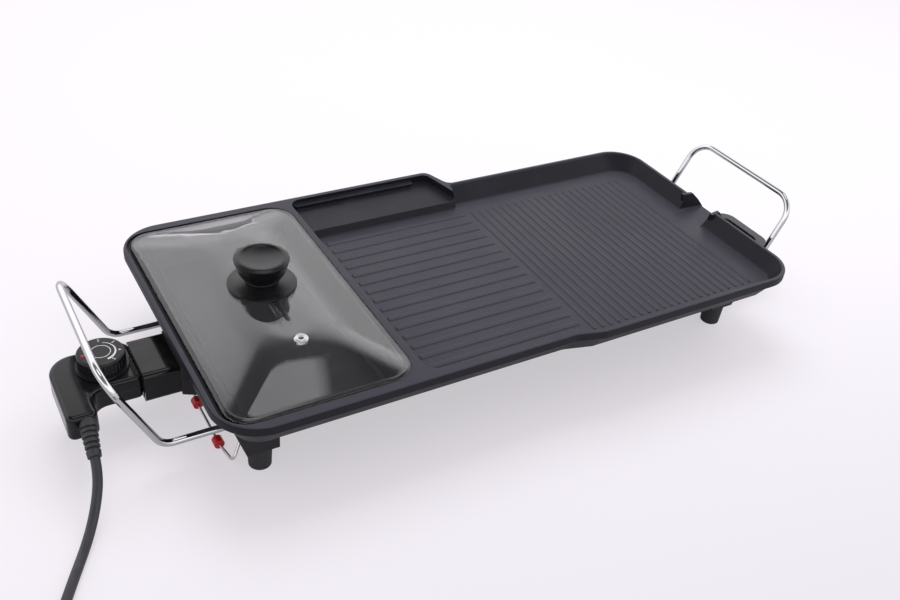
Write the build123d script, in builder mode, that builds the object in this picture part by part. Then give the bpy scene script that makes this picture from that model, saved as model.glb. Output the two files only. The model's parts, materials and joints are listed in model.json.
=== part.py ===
from build123d import *
from math import cos, hypot, pi, radians, sin, tan
import os

os.makedirs("parts", exist_ok=True)

# Driving dimensions of the whole, in millimetres; heights are counted up from the feet
plate_length = 610.0
plate_width = 325.2
foot_height = 23.0
left_end = -plate_length / 2
right_end = plate_length / 2
pan_bottom_z = foot_height + 15.0
skirt_bottom_z = pan_bottom_z + 19.0
rim_z = skirt_bottom_z + 31.0

# Cooking plate
plate_front_right = -plate_width / 2
plate_front_left = plate_front_right + 7.3
plate_back_left = plate_width / 2
plate_back_right = plate_back_left - 31.6
front_step_x = (25.0, 54.0)
back_step_x = (43.0, 54.0)
plate_radius_left = 42.0
plate_radius_right = 37.0
step_radius = 10.0
lip_height = 8.0
skirt_inset_top = 3.5
skirt_inset_bottom = 18.0
skirt_wall = 3.0
hollow_step = 6.0
cast_wall = 4.0
gap = 0.3
fit = 0.05

# Reach of the thermostat plug and of the handles from the middle of the plate
plug_reach = right_end + 97.0
grip_x = right_end + 70.0
handle_rod = 6.5
plate_cx = (plug_reach - grip_x - handle_rod / 2) / 2

# Pot well, griddle recess and warming shelf
lid_left = left_end + 5.6
lid_right = lid_left + 167.4
lid_front = plate_front_left + 10.9
lid_back = plate_back_left - 10.7
lid_radius = 24.0
lid_clearance = 1.2
lid_seat_z = rim_z - 3.0
pot_mouth_inset = 7.0
pot_floor_z = rim_z - 34.0
griddle_left = lid_right + 7.0
griddle_floor_z = rim_z - 17.0
griddle_wall = 4.0
shelf_z = rim_z - 8.5
shelf_front = plate_back_right - 24.5
rib_height = 0.8
rib_slope = 25.0
long_rib_pitch = 15.2
cross_rib_pitch = 9.55
long_rib_width = 7.4
long_rib_x = (griddle_left + 14.0, 52.0)
cross_rib_width = 4.6
cross_rib_x = (61.7, right_end - 42.0)

# Glass lid and knob
glass_thickness = 4.0
glass_edge_z = lid_seat_z + gap
dome_height = 12.7
dome_inset = 54.0
knob_height = 31.0

# Handles, feet and base
grip_z = rim_z + 22.0
handle_leg_z = pan_bottom_z - 8.0
handle_bend_x = right_end + 30.0
handle_inner_x = right_end - 75.0
clamp_x = right_end - 61.0
foot_x = right_end - 45.0
foot_y = plate_width / 2 - 58.6
handle_y = foot_y - 24.0
grip_half_length = handle_y - 1.5
foot_top_radius = 11.0
pan_wall = 0.8

# Socket, plug and dial
seam_x = left_end + 4.3
shroud_left = left_end - 27.5
shroud_bottom_z = pan_bottom_z - 6.0
shroud_top_z = skirt_bottom_z + 5.0
shroud_half_width = 27.5
shroud_wall = 3.0
pin_y = 13.0
element_radius = 3.5
pin_z = pot_floor_z - cast_wall - gap - element_radius
pin_radius = 3.0
probe_radius = 4.0
probe_tip_x = left_end + 48.0
plug_face_x = left_end - 28.0
plug_neck_x = left_end - 72.0
plug_bottom_z = pan_bottom_z
plug_top_z = plug_bottom_z + 24.0
plug_split_z = plug_bottom_z + 12.0
plug_wall = 3.0
dial_x = left_end - 54.5
dial_radius = 20.0
dial_top_z = plug_top_z + 16.0
shaft_radius = 3.0

# Drip cup and its rails
cup_left = right_end - 5.0
cup_right = right_end + 69.0
cup_y = 75.0 - foot_y
cup_half_width = 38.0
cup_top_z = pan_bottom_z + 12.0
cup_bottom_z = cup_top_z - 24.0

# Cord
cord_radius = 4.0
coil_radius = 44.0
coil_pitch = 8.6
coil_turns_each_way = 1.375


# Helpers
def level(z, x=0.0, y=0.0):
    """A horizontal plane at a height, measured from the middle of the plate."""
    return Plane(origin=(plate_cx + x, y, z))


def facing_x(x, y=0.0, z=0.0):
    """A plane square to X, in which x is the object's Y and y is its Z."""
    return Plane(origin=(plate_cx + x, y, z), x_dir=(0, 1, 0), z_dir=(1, 0, 0))


def facing_y(y, x=0.0, z=0.0):
    """A plane square to Y that faces the front, in which x is X and y is Z."""
    return Plane(origin=(plate_cx + x, y, z), x_dir=(1, 0, 0), z_dir=(0, -1, 0))


def at(x, y, z):
    """A point in space, measured from the middle of the plate."""
    return Vector(plate_cx + x, y, z)


def inset_corners(corners, insets):
    """Move each side of an outline inwards by its own inset, and give the new corners."""
    count = len(corners)
    insets = [insets] * count if isinstance(insets, (int, float)) else insets
    sides = []
    for i in range(count):
        (ax, ay), (bx, by) = corners[i], corners[(i + 1) % count]
        length = hypot(bx - ax, by - ay)
        ux, uy = (bx - ax) / length, (by - ay) / length
        sides.append((ax - uy * insets[i], ay + ux * insets[i], ux, uy))
    moved = []
    for i in range(count):
        ax, ay, ux, uy = sides[i - 1]
        bx, by, vx, vy = sides[i]
        along = ((bx - ax) * vy - (by - ay) * vx) / (ux * vy - uy * vx)
        moved.append((ax + ux * along, ay + uy * along))
    return moved


def inset_radii(corners, radii, inset, growth=1.0, least=2.0):
    """Shrink the radii of the outward corners and grow those of the inward ones by a share."""
    shrunk = []
    for i, radius in enumerate(radii):
        (ax, ay), (bx, by) = corners[i - 1], corners[i]
        cx, cy = corners[(i + 1) % len(corners)]
        turn = (bx - ax) * (cy - by) - (by - ay) * (cx - bx)
        shrunk.append(max(radius - inset, least) if turn > 0 else radius + growth * inset)
    return shrunk


def outline(corners, radii, plane):
    """A closed outline with rounded corners, as a face on a plane."""
    with BuildSketch(plane) as face:
        with BuildLine():
            FilletPolyline(corners, radius=radii, close=True)
        make_face()
    return face.sketch


def stacked(corners, radii, levels, growth=1.0):
    """The faces of one outline at several heights, each inset by its own amount."""
    faces = []
    for z, insets in levels:
        mean = insets if isinstance(insets, (int, float)) else sum(insets) / len(insets)
        grown = inset_radii(corners, radii, mean, growth)
        faces.append(outline(inset_corners(corners, insets), grown, level(z)))
    return faces


def box_corners(left, right, front, back):
    """The corners of a rectangle, counter-clockwise from the front left one."""
    return [(left, front), (right, front), (right, back), (left, back)]


def evenly(first, last, pitch):
    """Places one pitch apart, from the first up to the last."""
    return [first + i * pitch for i in range(int((last - first) / pitch + 1e-6) + 1)]


def save(piece, name):
    """Name a finished piece and write it to its own file."""
    piece.part.label = name
    export_step(piece.part, f"parts/{name}.step")


# Outline of the cooking plate, counter-clockwise from the front left corner
plate_corners = [
    (left_end, plate_front_left),
    (front_step_x[0], plate_front_left),
    (front_step_x[1], plate_front_right),
    (right_end, plate_front_right),
    (right_end, plate_back_right),
    (back_step_x[1], plate_back_right),
    (back_step_x[0], plate_back_left),
    (left_end, plate_back_left),
]
plate_radii = [
    plate_radius_left,
    step_radius,
    step_radius,
    plate_radius_right,
    plate_radius_right,
    step_radius,
    step_radius,
    plate_radius_left,
]
lip_bottom_z = rim_z - lip_height

# Base pan: the outside of the sheet cover below the plate
pan_top_inset = skirt_inset_bottom + 0.75
pan_bottom_insets = [45.0, 45.0, 45.0, 29.0, 25.0, 25.0, 25.0, 29.0]
pan_levels = [(pan_bottom_z, pan_bottom_insets), (skirt_bottom_z, pan_top_inset)]
pan_inner_levels = [
    (pan_bottom_z + pan_wall, [inset + pan_wall for inset in pan_bottom_insets]),
    (skirt_bottom_z, pan_top_inset + pan_wall),
]


def pan_outside():
    """The solid that the base pan would be if it were filled, with its open top closed."""
    with BuildPart() as filled:
        loft(stacked(plate_corners, plate_radii, pan_levels), ruled=True)
    return filled.part


# Places that the inside of the plate shares with what is fixed to it
lid_corners = box_corners(lid_left, lid_right, lid_front, lid_back)
lid_radii = [lid_radius] * 4
lid_x = (lid_left + lid_right) / 2
lid_y = (lid_front + lid_back) / 2
pot_corners = inset_corners(lid_corners, pot_mouth_inset)
pot_radii = [lid_radius - pot_mouth_inset] * 4
pot_draft = [16.0, 5.0, 11.0, 18.0]
pot_under_z = pot_floor_z - cast_wall
griddle_under_z = griddle_floor_z - cast_wall
griddle_right = right_end - griddle_wall
griddle_back = plate_back_right - 3.5
griddle_front_left = plate_front_left + 9.3
griddle_front_right = plate_front_right + 3.6
wall_draft = 7.5
outer_draft = 9.5
back_draft = 16.0
griddle_corners = [
    (griddle_left, griddle_front_left),
    (front_step_x[0], griddle_front_left),
    (front_step_x[1] - 4, griddle_front_right),
    (griddle_right, griddle_front_right),
    (griddle_right, griddle_back),
    (back_step_x[1] - 0.5, griddle_back),
    (back_step_x[1] - 4.5, shelf_front + wall_draft / 2),
    (griddle_left, shelf_front + wall_draft / 2),
]
griddle_radii = [16.0, 12.0, 12.0, 33.0, 33.0, 4.0, 4.0, 12.0]
cross_rib_y = (griddle_front_right + 21.0, shelf_front - 16.0)
griddle_draft = [wall_draft, wall_draft, outer_draft, outer_draft, back_draft, 3.0, wall_draft, 5.0]
shelf_back = plate_back_left - 5.6
shelf_corners = [
    (griddle_left, shelf_front - 14),
    (back_step_x[1] - 1, shelf_front - 14),
    (back_step_x[1] - 2.5, shelf_front),
    (back_step_x[0] - 3.5, shelf_back),
    (griddle_left, shelf_back),
]

# Heating element: one tube that goes under the pot and winds below the griddle
element_low_z = pin_z
element_high_z = griddle_under_z - gap - element_radius
element_end_x = left_end + 15.0
element_pot_y = plate_width / 2 - 67.6
element_front_y = plate_front_left + 50.3
element_back_y = shelf_front - 16.5
element_spacing = (element_back_y - element_front_y) / 3
element_inner_y = (element_front_y + element_spacing, element_back_y - element_spacing)
element_bend = 0.4 * element_spacing
element_right_x = right_end - 50.0
element_inner_x = griddle_left + 55.0
clip_thickness = 1.5
clip_x = (griddle_left + 105.0, right_end - 105.0)
pot_clip_x = left_end + 100.0
column_y = sum(element_inner_y) / 2
column_x = (left_end + 100.0, griddle_left + 30.0, 100.0, right_end - 41.0)
screw_radius = 2.0

# Drain spout in the right-hand wall
spout_y = cup_y + 17.0
spout_tip_x = right_end + 18.0
spout_floor_half = 18.5
spout_top_half = 23.0
spout_wall = 3.5
spout_foot_z = griddle_under_z - 7.0


# Cooking plate
def clip_places():
    """Centres of the clips that hold the element: x, y, half length and height of the strap's top."""
    front_mid = (element_front_y + element_inner_y[0]) / 2
    back_mid = (element_inner_y[1] + element_back_y) / 2
    front_half = (element_inner_y[0] - element_front_y) / 2 + 6
    back_half = (element_back_y - element_inner_y[1]) / 2 + 6
    high = element_high_z - element_radius
    low = element_low_z - element_radius
    places = []
    for x in clip_x:
        places += [(x, front_mid, front_half, high), (x, back_mid, back_half, high)]
    for side in (-1, 1):
        places.append((pot_clip_x, side * (element_pot_y - 9), 15.0, low))
    return places


def spout_section(x, floor_half, top_half, bottom_z):
    """A cross-section of the spout: narrower at its floor than at its top."""
    return outline(
        [
            (spout_y - floor_half, bottom_z),
            (spout_y + floor_half, bottom_z),
            (spout_y + top_half, rim_z + 2),
            (spout_y - top_half, rim_z + 2),
        ],
        [2.5, 2.5, 0, 0],
        facing_x(x),
    )


with BuildPart() as spout_body:
    with BuildSketch(facing_y(spout_y - spout_top_half - 2 * spout_wall)):
        with BuildLine():
            Polyline(
                (right_end - 9, griddle_under_z - 4),
                (right_end, griddle_under_z - 1),
                (spout_tip_x, griddle_under_z),
                (spout_tip_x, griddle_floor_z + 1.5),
                (right_end + 12, rim_z - 8),
                (right_end + 4, rim_z),
                (right_end - 9, rim_z),
                close=True,
            )
        make_face()
    extrude(amount=-2 * spout_top_half - 4 * spout_wall)
    outer_floor = spout_floor_half + spout_wall
    outer_top = spout_top_half + spout_wall
    loft(
        [
            spout_section(right_end - 10, outer_floor + 1, outer_top, spout_foot_z),
            spout_section(spout_tip_x + 1, outer_floor - 3, outer_top - 5, spout_foot_z),
        ],
        ruled=True,
        mode=Mode.INTERSECT,
    )


boss_radius = 5.0
with BuildPart() as cooking_plate:
    # lip and skirt
    loft(
        stacked(
            plate_corners,
            plate_radii,
            [(lip_bottom_z, 0.0), (rim_z - 1.4, 0.0), (rim_z - 0.4, 0.4), (rim_z, 1.4)],
        ),
        ruled=True,
    )
    loft(
        stacked(
            plate_corners,
            plate_radii,
            [(skirt_bottom_z, skirt_inset_bottom), (lip_bottom_z, skirt_inset_top)],
        ),
        ruled=True,
    )
    # hollow underside
    hollow_inset = skirt_inset_bottom + skirt_wall
    hollow_levels = [(skirt_bottom_z, hollow_inset), (griddle_under_z, hollow_inset - hollow_step)]
    loft(stacked(plate_corners, plate_radii, hollow_levels), ruled=True, mode=Mode.SUBTRACT)
    # outside of the pot
    loft(
        stacked(
            pot_corners,
            pot_radii,
            [
                (pot_under_z, [d - cast_wall + 2 for d in pot_draft]),
                (pot_under_z + 3, [d - cast_wall for d in pot_draft]),
                (griddle_under_z + 1, [d * 0.58 - cast_wall for d in pot_draft]),
            ],
        ),
        ruled=True,
    )
    # seat of the lid and inside of the pot
    loft(
        stacked(lid_corners, lid_radii, [(lid_seat_z, -lid_clearance), (rim_z + 1, -lid_clearance)]),
        ruled=True,
        mode=Mode.SUBTRACT,
    )
    loft(
        stacked(
            pot_corners,
            pot_radii,
            [
                (pot_floor_z, [d + 3 for d in pot_draft]),
                (pot_floor_z + 3, pot_draft),
                (lid_seat_z + 0.1, 0.0),
            ],
        ),
        ruled=True,
        mode=Mode.SUBTRACT,
    )
    # griddle recess
    loft(
        stacked(
            griddle_corners,
            griddle_radii,
            [
                (griddle_floor_z, [d + 1.5 for d in griddle_draft]),
                (griddle_floor_z + 1.5, griddle_draft),
                (rim_z + 0.1, 0.0),
            ],
            growth=0.2,
        ),
        ruled=True,
        mode=Mode.SUBTRACT,
    )
    # warming shelf and the step at its back
    with BuildSketch(level(shelf_z)):
        with BuildLine():
            FilletPolyline(shelf_corners, radius=[0, 0, 0, 8, 12], close=True)
        make_face()
    extrude(amount=rim_z - shelf_z + 1, mode=Mode.SUBTRACT)
    with BuildSketch(level(shelf_z)):
        with Locations((griddle_left + 75, shelf_back - 3.5)):
            RectangleRounded(140, 7, 2)
    extrude(amount=4.5)
    # drain spout: its body, then the channel through the wall
    add(spout_body.part)
    channel = [
        spout_section(right_end - 22, spout_floor_half + 1, spout_top_half + 2, griddle_floor_z),
        spout_section(spout_tip_x + 1, spout_floor_half - 3, spout_top_half - 5, griddle_floor_z),
    ]
    loft(channel, ruled=True, mode=Mode.SUBTRACT)
    # low ribs on the griddle floor, lengthwise on the left and crosswise on the right
    with BuildSketch(facing_x(long_rib_x[0], 0, griddle_floor_z)):
        for y in evenly(griddle_front_left + 22.0, shelf_front - 17.0, long_rib_pitch):
            with Locations((y, 0)):
                Trapezoid(long_rib_width, rib_height, rib_slope, align=(Align.CENTER, Align.MIN))
    extrude(amount=long_rib_x[1] - long_rib_x[0])
    with BuildSketch(facing_y(cross_rib_y[0], 0, griddle_floor_z)):
        for x in evenly(*cross_rib_x, cross_rib_pitch):
            with Locations((x, 0)):
                Trapezoid(cross_rib_width, rib_height, rib_slope, align=(Align.CENTER, Align.MIN))
    extrude(amount=cross_rib_y[0] - cross_rib_y[1])
    # bosses for the element's clips and columns for the base pan's screws
    for x, y, half, top in clip_places():
        floor_z = pot_under_z if top < pot_under_z else griddle_under_z
        with BuildSketch(level(top, x, y)):
            Circle(boss_radius)
            Circle(screw_radius + fit, mode=Mode.SUBTRACT)
        extrude(amount=floor_z - top)
    for x in column_x:
        floor_z = pot_under_z if x < lid_right else griddle_under_z
        with BuildSketch(level(pan_bottom_z + pan_wall, x, column_y)):
            Circle(boss_radius)
            Circle(screw_radius + fit, mode=Mode.SUBTRACT)
        extrude(amount=floor_z - pan_bottom_z - pan_wall)
    # boss with the bore that the thermostat's probe goes into
    probe_boss_z = pin_z - probe_radius - 2.3
    with BuildSketch(level(probe_boss_z, probe_tip_x - 5.5)):
        RectangleRounded(25, 2 * probe_radius + 8, 2)
    extrude(amount=pot_under_z - probe_boss_z)
    with BuildSketch(facing_x(probe_tip_x + 1)):
        with Locations((0, pin_z)):
            Circle(probe_radius + gap)
    extrude(amount=-24, mode=Mode.SUBTRACT)
save(cooking_plate, "cooking_plate")

# Base pan, open at the top, with the holes for its screws, the pins and the probe
bush_radius = element_radius + 1.5
with BuildPart() as base_pan:
    loft(stacked(plate_corners, plate_radii, pan_levels), ruled=True)
    loft(stacked(plate_corners, plate_radii, pan_inner_levels), ruled=True, mode=Mode.SUBTRACT)
    with BuildSketch(facing_x(element_end_x)):
        with Locations((-pin_y, pin_z), (pin_y, pin_z)):
            Circle(bush_radius + gap)
        with Locations((0, pin_z)):
            Circle(probe_radius + 1.5)
    extrude(amount=20, mode=Mode.SUBTRACT)
    for x in column_x:
        with BuildSketch(level(pan_bottom_z, x, column_y)):
            Circle(screw_radius + gap)
        extrude(amount=pan_wall, mode=Mode.SUBTRACT)
save(base_pan, "base_pan")


def screws(places, head_radius, head_height, length):
    """Pan-head screws as separate solids: each place is where the head's seat lies."""
    with BuildPart() as group:
        for x, y, z in places:
            with BuildSketch(level(z, x, y)):
                Circle(head_radius)
            extrude(amount=-head_height)
            with BuildSketch(level(z, x, y)):
                Circle(screw_radius)
            extrude(amount=length)
    return group


base_pan_screws = screws([(x, column_y, pan_bottom_z) for x in column_x], 4.0, 1.8, 9.0)
save(base_pan_screws, "base_pan_screws")

# Heating element
element_route = [
    at(element_end_x, -pin_y, element_low_z),
    at(element_end_x + 28, -pin_y, element_low_z),
    at(element_end_x + 40, -element_pot_y, element_low_z),
    at(lid_right - 1, -element_pot_y, element_low_z),
    at(griddle_left + 17, element_front_y + 4, element_high_z),
    at(element_right_x, element_front_y, element_high_z),
    at(element_right_x, element_inner_y[0], element_high_z),
    at(element_inner_x, element_inner_y[0], element_high_z),
    at(element_inner_x, element_inner_y[1], element_high_z),
    at(element_right_x, element_inner_y[1], element_high_z),
    at(element_right_x, element_back_y, element_high_z),
    at(griddle_left + 17, element_back_y - 2, element_high_z),
    at(lid_right - 1, element_pot_y, element_low_z),
    at(element_end_x + 40, element_pot_y, element_low_z),
    at(element_end_x + 28, pin_y, element_low_z),
    at(element_end_x, pin_y, element_low_z),
]
element_bends = [10, 20, 12, 12] + [element_bend] * 6 + [12, 12, 20, 10]
with BuildPart() as heating_element:
    with BuildLine() as element_path:
        FilletPolyline(element_route, radius=element_bends)
    with BuildSketch(facing_x(element_end_x, -pin_y, element_low_z)):
        Circle(element_radius)
    sweep(path=element_path.wire())
save(heating_element, "heating_element")

with BuildPart() as element_clips:
    for x, y, half, top in clip_places():
        with BuildSketch(level(top - clip_thickness, x, y)):
            RectangleRounded(14, 2 * half, 3)
            Circle(screw_radius + gap, mode=Mode.SUBTRACT)
        extrude(amount=clip_thickness)
save(element_clips, "element_clips")

clip_screws = screws([(x, y, top - clip_thickness) for x, y, half, top in clip_places()], 3.6, 1.4, 5.5)
save(clip_screws, "clip_screws")

# Ceramic bushes round the element's ends, and the contact pins
with BuildPart() as element_bushes:
    for side in (-1, 1):
        with BuildSketch(facing_x(element_end_x - 6, side * pin_y, pin_z)):
            Circle(bush_radius)
            Circle(element_radius + fit, mode=Mode.SUBTRACT)
        extrude(amount=18)
save(element_bushes, "element_bushes")

with BuildPart() as contact_pins:
    for side in (-1, 1):
        with BuildSketch(facing_x(element_end_x, side * pin_y, pin_z)):
            Circle(pin_radius)
        extrude(amount=-32)
    fillet(contact_pins.faces().sort_by(Axis.X)[:2].edges(), 1.2)
save(contact_pins, "contact_pins")

# Socket block on the left end of the base pan
with BuildPart() as socket_block:
    with BuildSketch(facing_y(-shroud_half_width)):
        with BuildLine():
            Polyline(
                (seam_x, shroud_top_z),
                (seam_x + 7.2, shroud_top_z),
                (seam_x + 11.7, skirt_bottom_z - 0.5),
                (seam_x + 21.7, skirt_bottom_z - 0.5),
                (seam_x + 30.7, pan_bottom_z + 2.5),
                (seam_x + 30.7, pan_bottom_z - 1),
                (seam_x + 16.7, pan_bottom_z - 14),
                (seam_x, shroud_bottom_z - 1),
                close=True,
            )
        make_face()
    extrude(amount=-2 * shroud_half_width)
    add(pan_outside(), mode=Mode.SUBTRACT)
    with BuildSketch(facing_x(seam_x)):
        with Locations((-pin_y, pin_z), (pin_y, pin_z)):
            Circle(bush_radius + fit)
        with Locations((0, pin_z)):
            Circle(probe_radius + 1.5)
    extrude(amount=40, mode=Mode.SUBTRACT)
save(socket_block, "socket_block")

with BuildPart() as socket_shroud:
    shroud_mid_z = (shroud_top_z + shroud_bottom_z) / 2
    shroud_height = shroud_top_z - shroud_bottom_z
    with BuildSketch(facing_x(shroud_left, 0, shroud_mid_z)):
        RectangleRounded(2 * shroud_half_width, shroud_height, 5)
    extrude(amount=seam_x - shroud_left)
    with BuildSketch(facing_x(shroud_left, 0, shroud_mid_z)):
        RectangleRounded(2 * (shroud_half_width - shroud_wall), shroud_height - 2 * shroud_wall, 2.5)
    extrude(amount=seam_x - shroud_left, mode=Mode.SUBTRACT)
save(socket_shroud, "socket_shroud")


# Feet and their brackets
def corner_signs():
    """The four corners of the base: the signs of X and Y."""
    return [(sx, sy) for sx in (-1, 1) for sy in (-1, 1)]


bracket_width = 22.4
with BuildPart() as foot_brackets:
    for sx, sy in corner_signs():
        with BuildSketch(facing_y(sy * foot_y - bracket_width / 2)):
            with BuildLine():
                Polyline(
                    (sx * (foot_x - 14), foot_height),
                    (sx * (foot_x + 15), foot_height),
                    (sx * (right_end - pan_top_inset + gap), skirt_bottom_z),
                    (sx * (foot_x - 14), skirt_bottom_z),
                    close=True,
                )
            make_face()
        extrude(amount=-bracket_width)
    add(pan_outside(), mode=Mode.SUBTRACT)
    for sx, sy in corner_signs():
        with BuildSketch(level(foot_height, sx * foot_x, sy * foot_y)):
            Circle(screw_radius + fit)
        extrude(amount=12, mode=Mode.SUBTRACT)
save(foot_brackets, "foot_brackets")

foot_well = 6.0
with BuildPart() as feet:
    for sx, sy in corner_signs():
        with BuildSketch(facing_y(sy * foot_y, sx * foot_x)):
            with BuildLine():
                Polyline(
                    (screw_radius + gap, foot_well),
                    (4.5, foot_well),
                    (4.5, 0),
                    (foot_top_radius - 2, 0),
                    (foot_top_radius - 1, 1),
                    (foot_top_radius, foot_height),
                    (screw_radius + gap, foot_height),
                    close=True,
                )
            make_face()
        revolve(axis=Axis(at(sx * foot_x, sy * foot_y, 0), (0, 0, 1)))
save(feet, "feet")

foot_screw_length = foot_height + 10.0 - foot_well
foot_screw_places = [(sx * foot_x, sy * foot_y, foot_well) for sx, sy in corner_signs()]
foot_screws = screws(foot_screw_places, 3.9, 2.0, foot_screw_length)
save(foot_screws, "foot_screws")


# Carrying handles
def handle(side):
    """One bent rod: two legs under the base, two risers and the grip."""
    legs_y = side * handle_y
    route = [
        at(side * handle_inner_x, -legs_y, handle_leg_z),
        at(side * handle_bend_x, -legs_y, handle_leg_z),
        at(side * grip_x, -side * grip_half_length, grip_z),
        at(side * grip_x, side * grip_half_length, grip_z),
        at(side * handle_bend_x, legs_y, handle_leg_z),
        at(side * handle_inner_x, legs_y, handle_leg_z),
    ]
    with BuildPart() as rod:
        with BuildLine() as path:
            FilletPolyline(route, radius=[15.5, 24.5, 24.5, 15.5])
        with BuildSketch(facing_x(side * handle_inner_x, -legs_y, handle_leg_z)):
            Circle(handle_rod / 2)
        sweep(path=path.wire())
    return rod


left_handle = handle(-1)
save(left_handle, "left_handle")
right_handle = handle(1)
save(right_handle, "right_handle")

clamp_half = handle_rod / 2 + 5.25
clamp_bottom_z = handle_leg_z - handle_rod / 2 - 2.25
with BuildPart() as handle_clamps:
    for sx, sy in corner_signs():
        with BuildSketch(facing_x(sx * clamp_x - 10, sy * handle_y)):
            with BuildLine():
                Polyline(
                    (-clamp_half, pan_bottom_z),
                    (-clamp_half, handle_leg_z),
                    (2.5 - clamp_half, clamp_bottom_z),
                    (clamp_half - 2.5, clamp_bottom_z),
                    (clamp_half, handle_leg_z),
                    (clamp_half, pan_bottom_z),
                    close=True,
                )
            make_face()
            with Locations((0, handle_leg_z)):
                Circle(handle_rod / 2 + fit, mode=Mode.SUBTRACT)
        extrude(amount=20)
save(handle_clamps, "handle_clamps")

# Glass lid
dome_steps = 6
dome_power = 2.2
dome_top_radius = 29.0
glass_top_z = glass_edge_z + glass_thickness + dome_height
vent_x = lid_x
vent_y = lid_front + 64.9


def dome_faces(wall):
    """The dome's outline at every step, moved in and down by a wall, with corners that widen upwards."""
    faces = []
    for i in range(dome_steps + 1):
        share = i / dome_steps
        z = glass_edge_z + glass_thickness + dome_height * (1 - (1 - share) ** dome_power)
        corners = inset_corners(lid_corners, dome_inset * share + wall)
        radius = lid_radius + (dome_top_radius - lid_radius) * share - wall
        faces.append(outline(corners, radius, level(z - wall)))
    return faces


with BuildPart() as glass_lid:
    loft(stacked(lid_corners, lid_radii, [(glass_edge_z, 0.6), (glass_edge_z + 0.6, 0.0),
                                          (glass_edge_z + glass_thickness, 0.0)]), ruled=True)
    loft(dome_faces(0.0), ruled=True)
    glass_mouth = stacked(lid_corners, lid_radii, [(glass_edge_z, glass_thickness + 2)])
    loft(glass_mouth + dome_faces(glass_thickness), ruled=True, mode=Mode.SUBTRACT)
    with BuildSketch(level(glass_top_z, lid_x, lid_y)):
        Circle(3.5)
    extrude(amount=-glass_thickness, mode=Mode.SUBTRACT)
    with BuildSketch(level(glass_top_z, vent_x, vent_y)):
        Circle(4.5)
    extrude(amount=-glass_thickness, mode=Mode.SUBTRACT)
save(glass_lid, "glass_lid")


def turned(x, y, profile):
    """Revolve a closed profile of (radius, height) points round a vertical line."""
    with BuildPart() as piece:
        with BuildSketch(facing_y(y, x)):
            with BuildLine():
                Polyline(profile, close=True)
            make_face()
        revolve(axis=Axis(at(x, y, 0), (0, 0, 1)))
    return piece


flange_top_z = glass_top_z + 3.2
knob_flange = turned(
    lid_x,
    lid_y,
    [(screw_radius + gap, glass_top_z), (29, glass_top_z), (31, glass_top_z + 0.8), (29.5, glass_top_z + 2),
     (17, flange_top_z), (screw_radius + gap, flange_top_z)],
)
save(knob_flange, "knob_flange")

knob_top_z = flange_top_z + knob_height
with BuildPart() as lid_knob:
    with BuildSketch(facing_y(lid_y, lid_x)):
        with BuildLine():
            Line((screw_radius + fit, flange_top_z), (17, flange_top_z))
            ThreePointArc((17, flange_top_z), (15.2, flange_top_z + 1.6), (15, flange_top_z + 4))
            ThreePointArc((15, flange_top_z + 4), (17.4, flange_top_z + 16), (24, knob_top_z - 7.5))
            ThreePointArc((24, knob_top_z - 7.5), (23.8, knob_top_z - 3.2), (20.5, knob_top_z))
            TangentArc((0, knob_top_z - 1.3), (20.5, knob_top_z), tangent=(1, 0))
            Polyline((0, knob_top_z - 1.3), (0, flange_top_z + 18), (screw_radius + fit, flange_top_z + 18),
                     (screw_radius + fit, flange_top_z))
        make_face()
    revolve(axis=Axis(at(lid_x, lid_y, 0), (0, 0, 1)))
save(lid_knob, "lid_knob")

washer_z = glass_top_z - glass_thickness
knob_washer = turned(
    lid_x, lid_y, [(screw_radius + gap, washer_z - 1.5), (10, washer_z - 1.5), (10, washer_z),
                   (screw_radius + gap, washer_z)]
)
save(knob_washer, "knob_washer")
knob_screw = screws([(lid_x, lid_y, washer_z - 1.5)], 4.5, 2.4, 22.0)
save(knob_screw, "knob_screw")

vent_eyelet = turned(
    vent_x, vent_y,
    [(2.2, washer_z - 0.8), (5.8, washer_z - 0.8), (5.8, washer_z), (4.4, washer_z), (4.4, glass_top_z),
     (6.2, glass_top_z), (5.6, glass_top_z + 1.1), (3.0, glass_top_z + 1.3), (2.2, glass_top_z + 0.8)],
)
save(vent_eyelet, "vent_eyelet")

# Drip cup and the rails that it slides on
cup_x = (cup_left + cup_right) / 2
rail_top_z = cup_top_z - 3.0 - gap
rail_y = (cup_y - cup_half_width + 4, cup_y + cup_half_width - 4)
rail_width = 6.0
cup_body_half = cup_half_width - 7 - gap
with BuildPart() as drip_cup:
    with BuildSketch(level(cup_top_z - 3, cup_x, cup_y)):
        RectangleRounded(cup_right - cup_left, 2 * cup_half_width, 15)
    extrude(amount=3)
    fillet(drip_cup.edges().filter_by(GeomType.CIRCLE, reverse=True).group_by(Axis.Z)[-1], 1.2)
    cup_corners = box_corners(cup_left + 1, cup_right - 9, cup_y - cup_body_half, cup_y + cup_body_half)
    cup_radii = [12] * 4
    cup_outside = [(cup_bottom_z, 7), (cup_bottom_z + 3, 4), (cup_top_z - 2, 0)]
    cup_inside = [(cup_bottom_z + 2, 9), (cup_bottom_z + 5, 6), (cup_top_z + 0.1, 1.6)]
    loft(stacked(cup_corners, cup_radii, cup_outside), ruled=True)
    loft(stacked(cup_corners, cup_radii, cup_inside), ruled=True, mode=Mode.SUBTRACT)
save(drip_cup, "drip_cup")

with BuildPart() as cup_rails:
    for y in rail_y:
        with BuildSketch(facing_y(y + rail_width / 2)):
            with BuildLine():
                Polyline(
                    (right_end - 37, rail_top_z - 2), (cup_right - 24, rail_top_z - 2),
                    (cup_right - 24, rail_top_z), (right_end - 18, rail_top_z),
                    (right_end - 18, rail_top_z + 6), (right_end - 37, rail_top_z + 6), close=True,
                )
            make_face()
        extrude(amount=rail_width)
    add(pan_outside(), mode=Mode.SUBTRACT)
save(cup_rails, "cup_rails")

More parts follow.
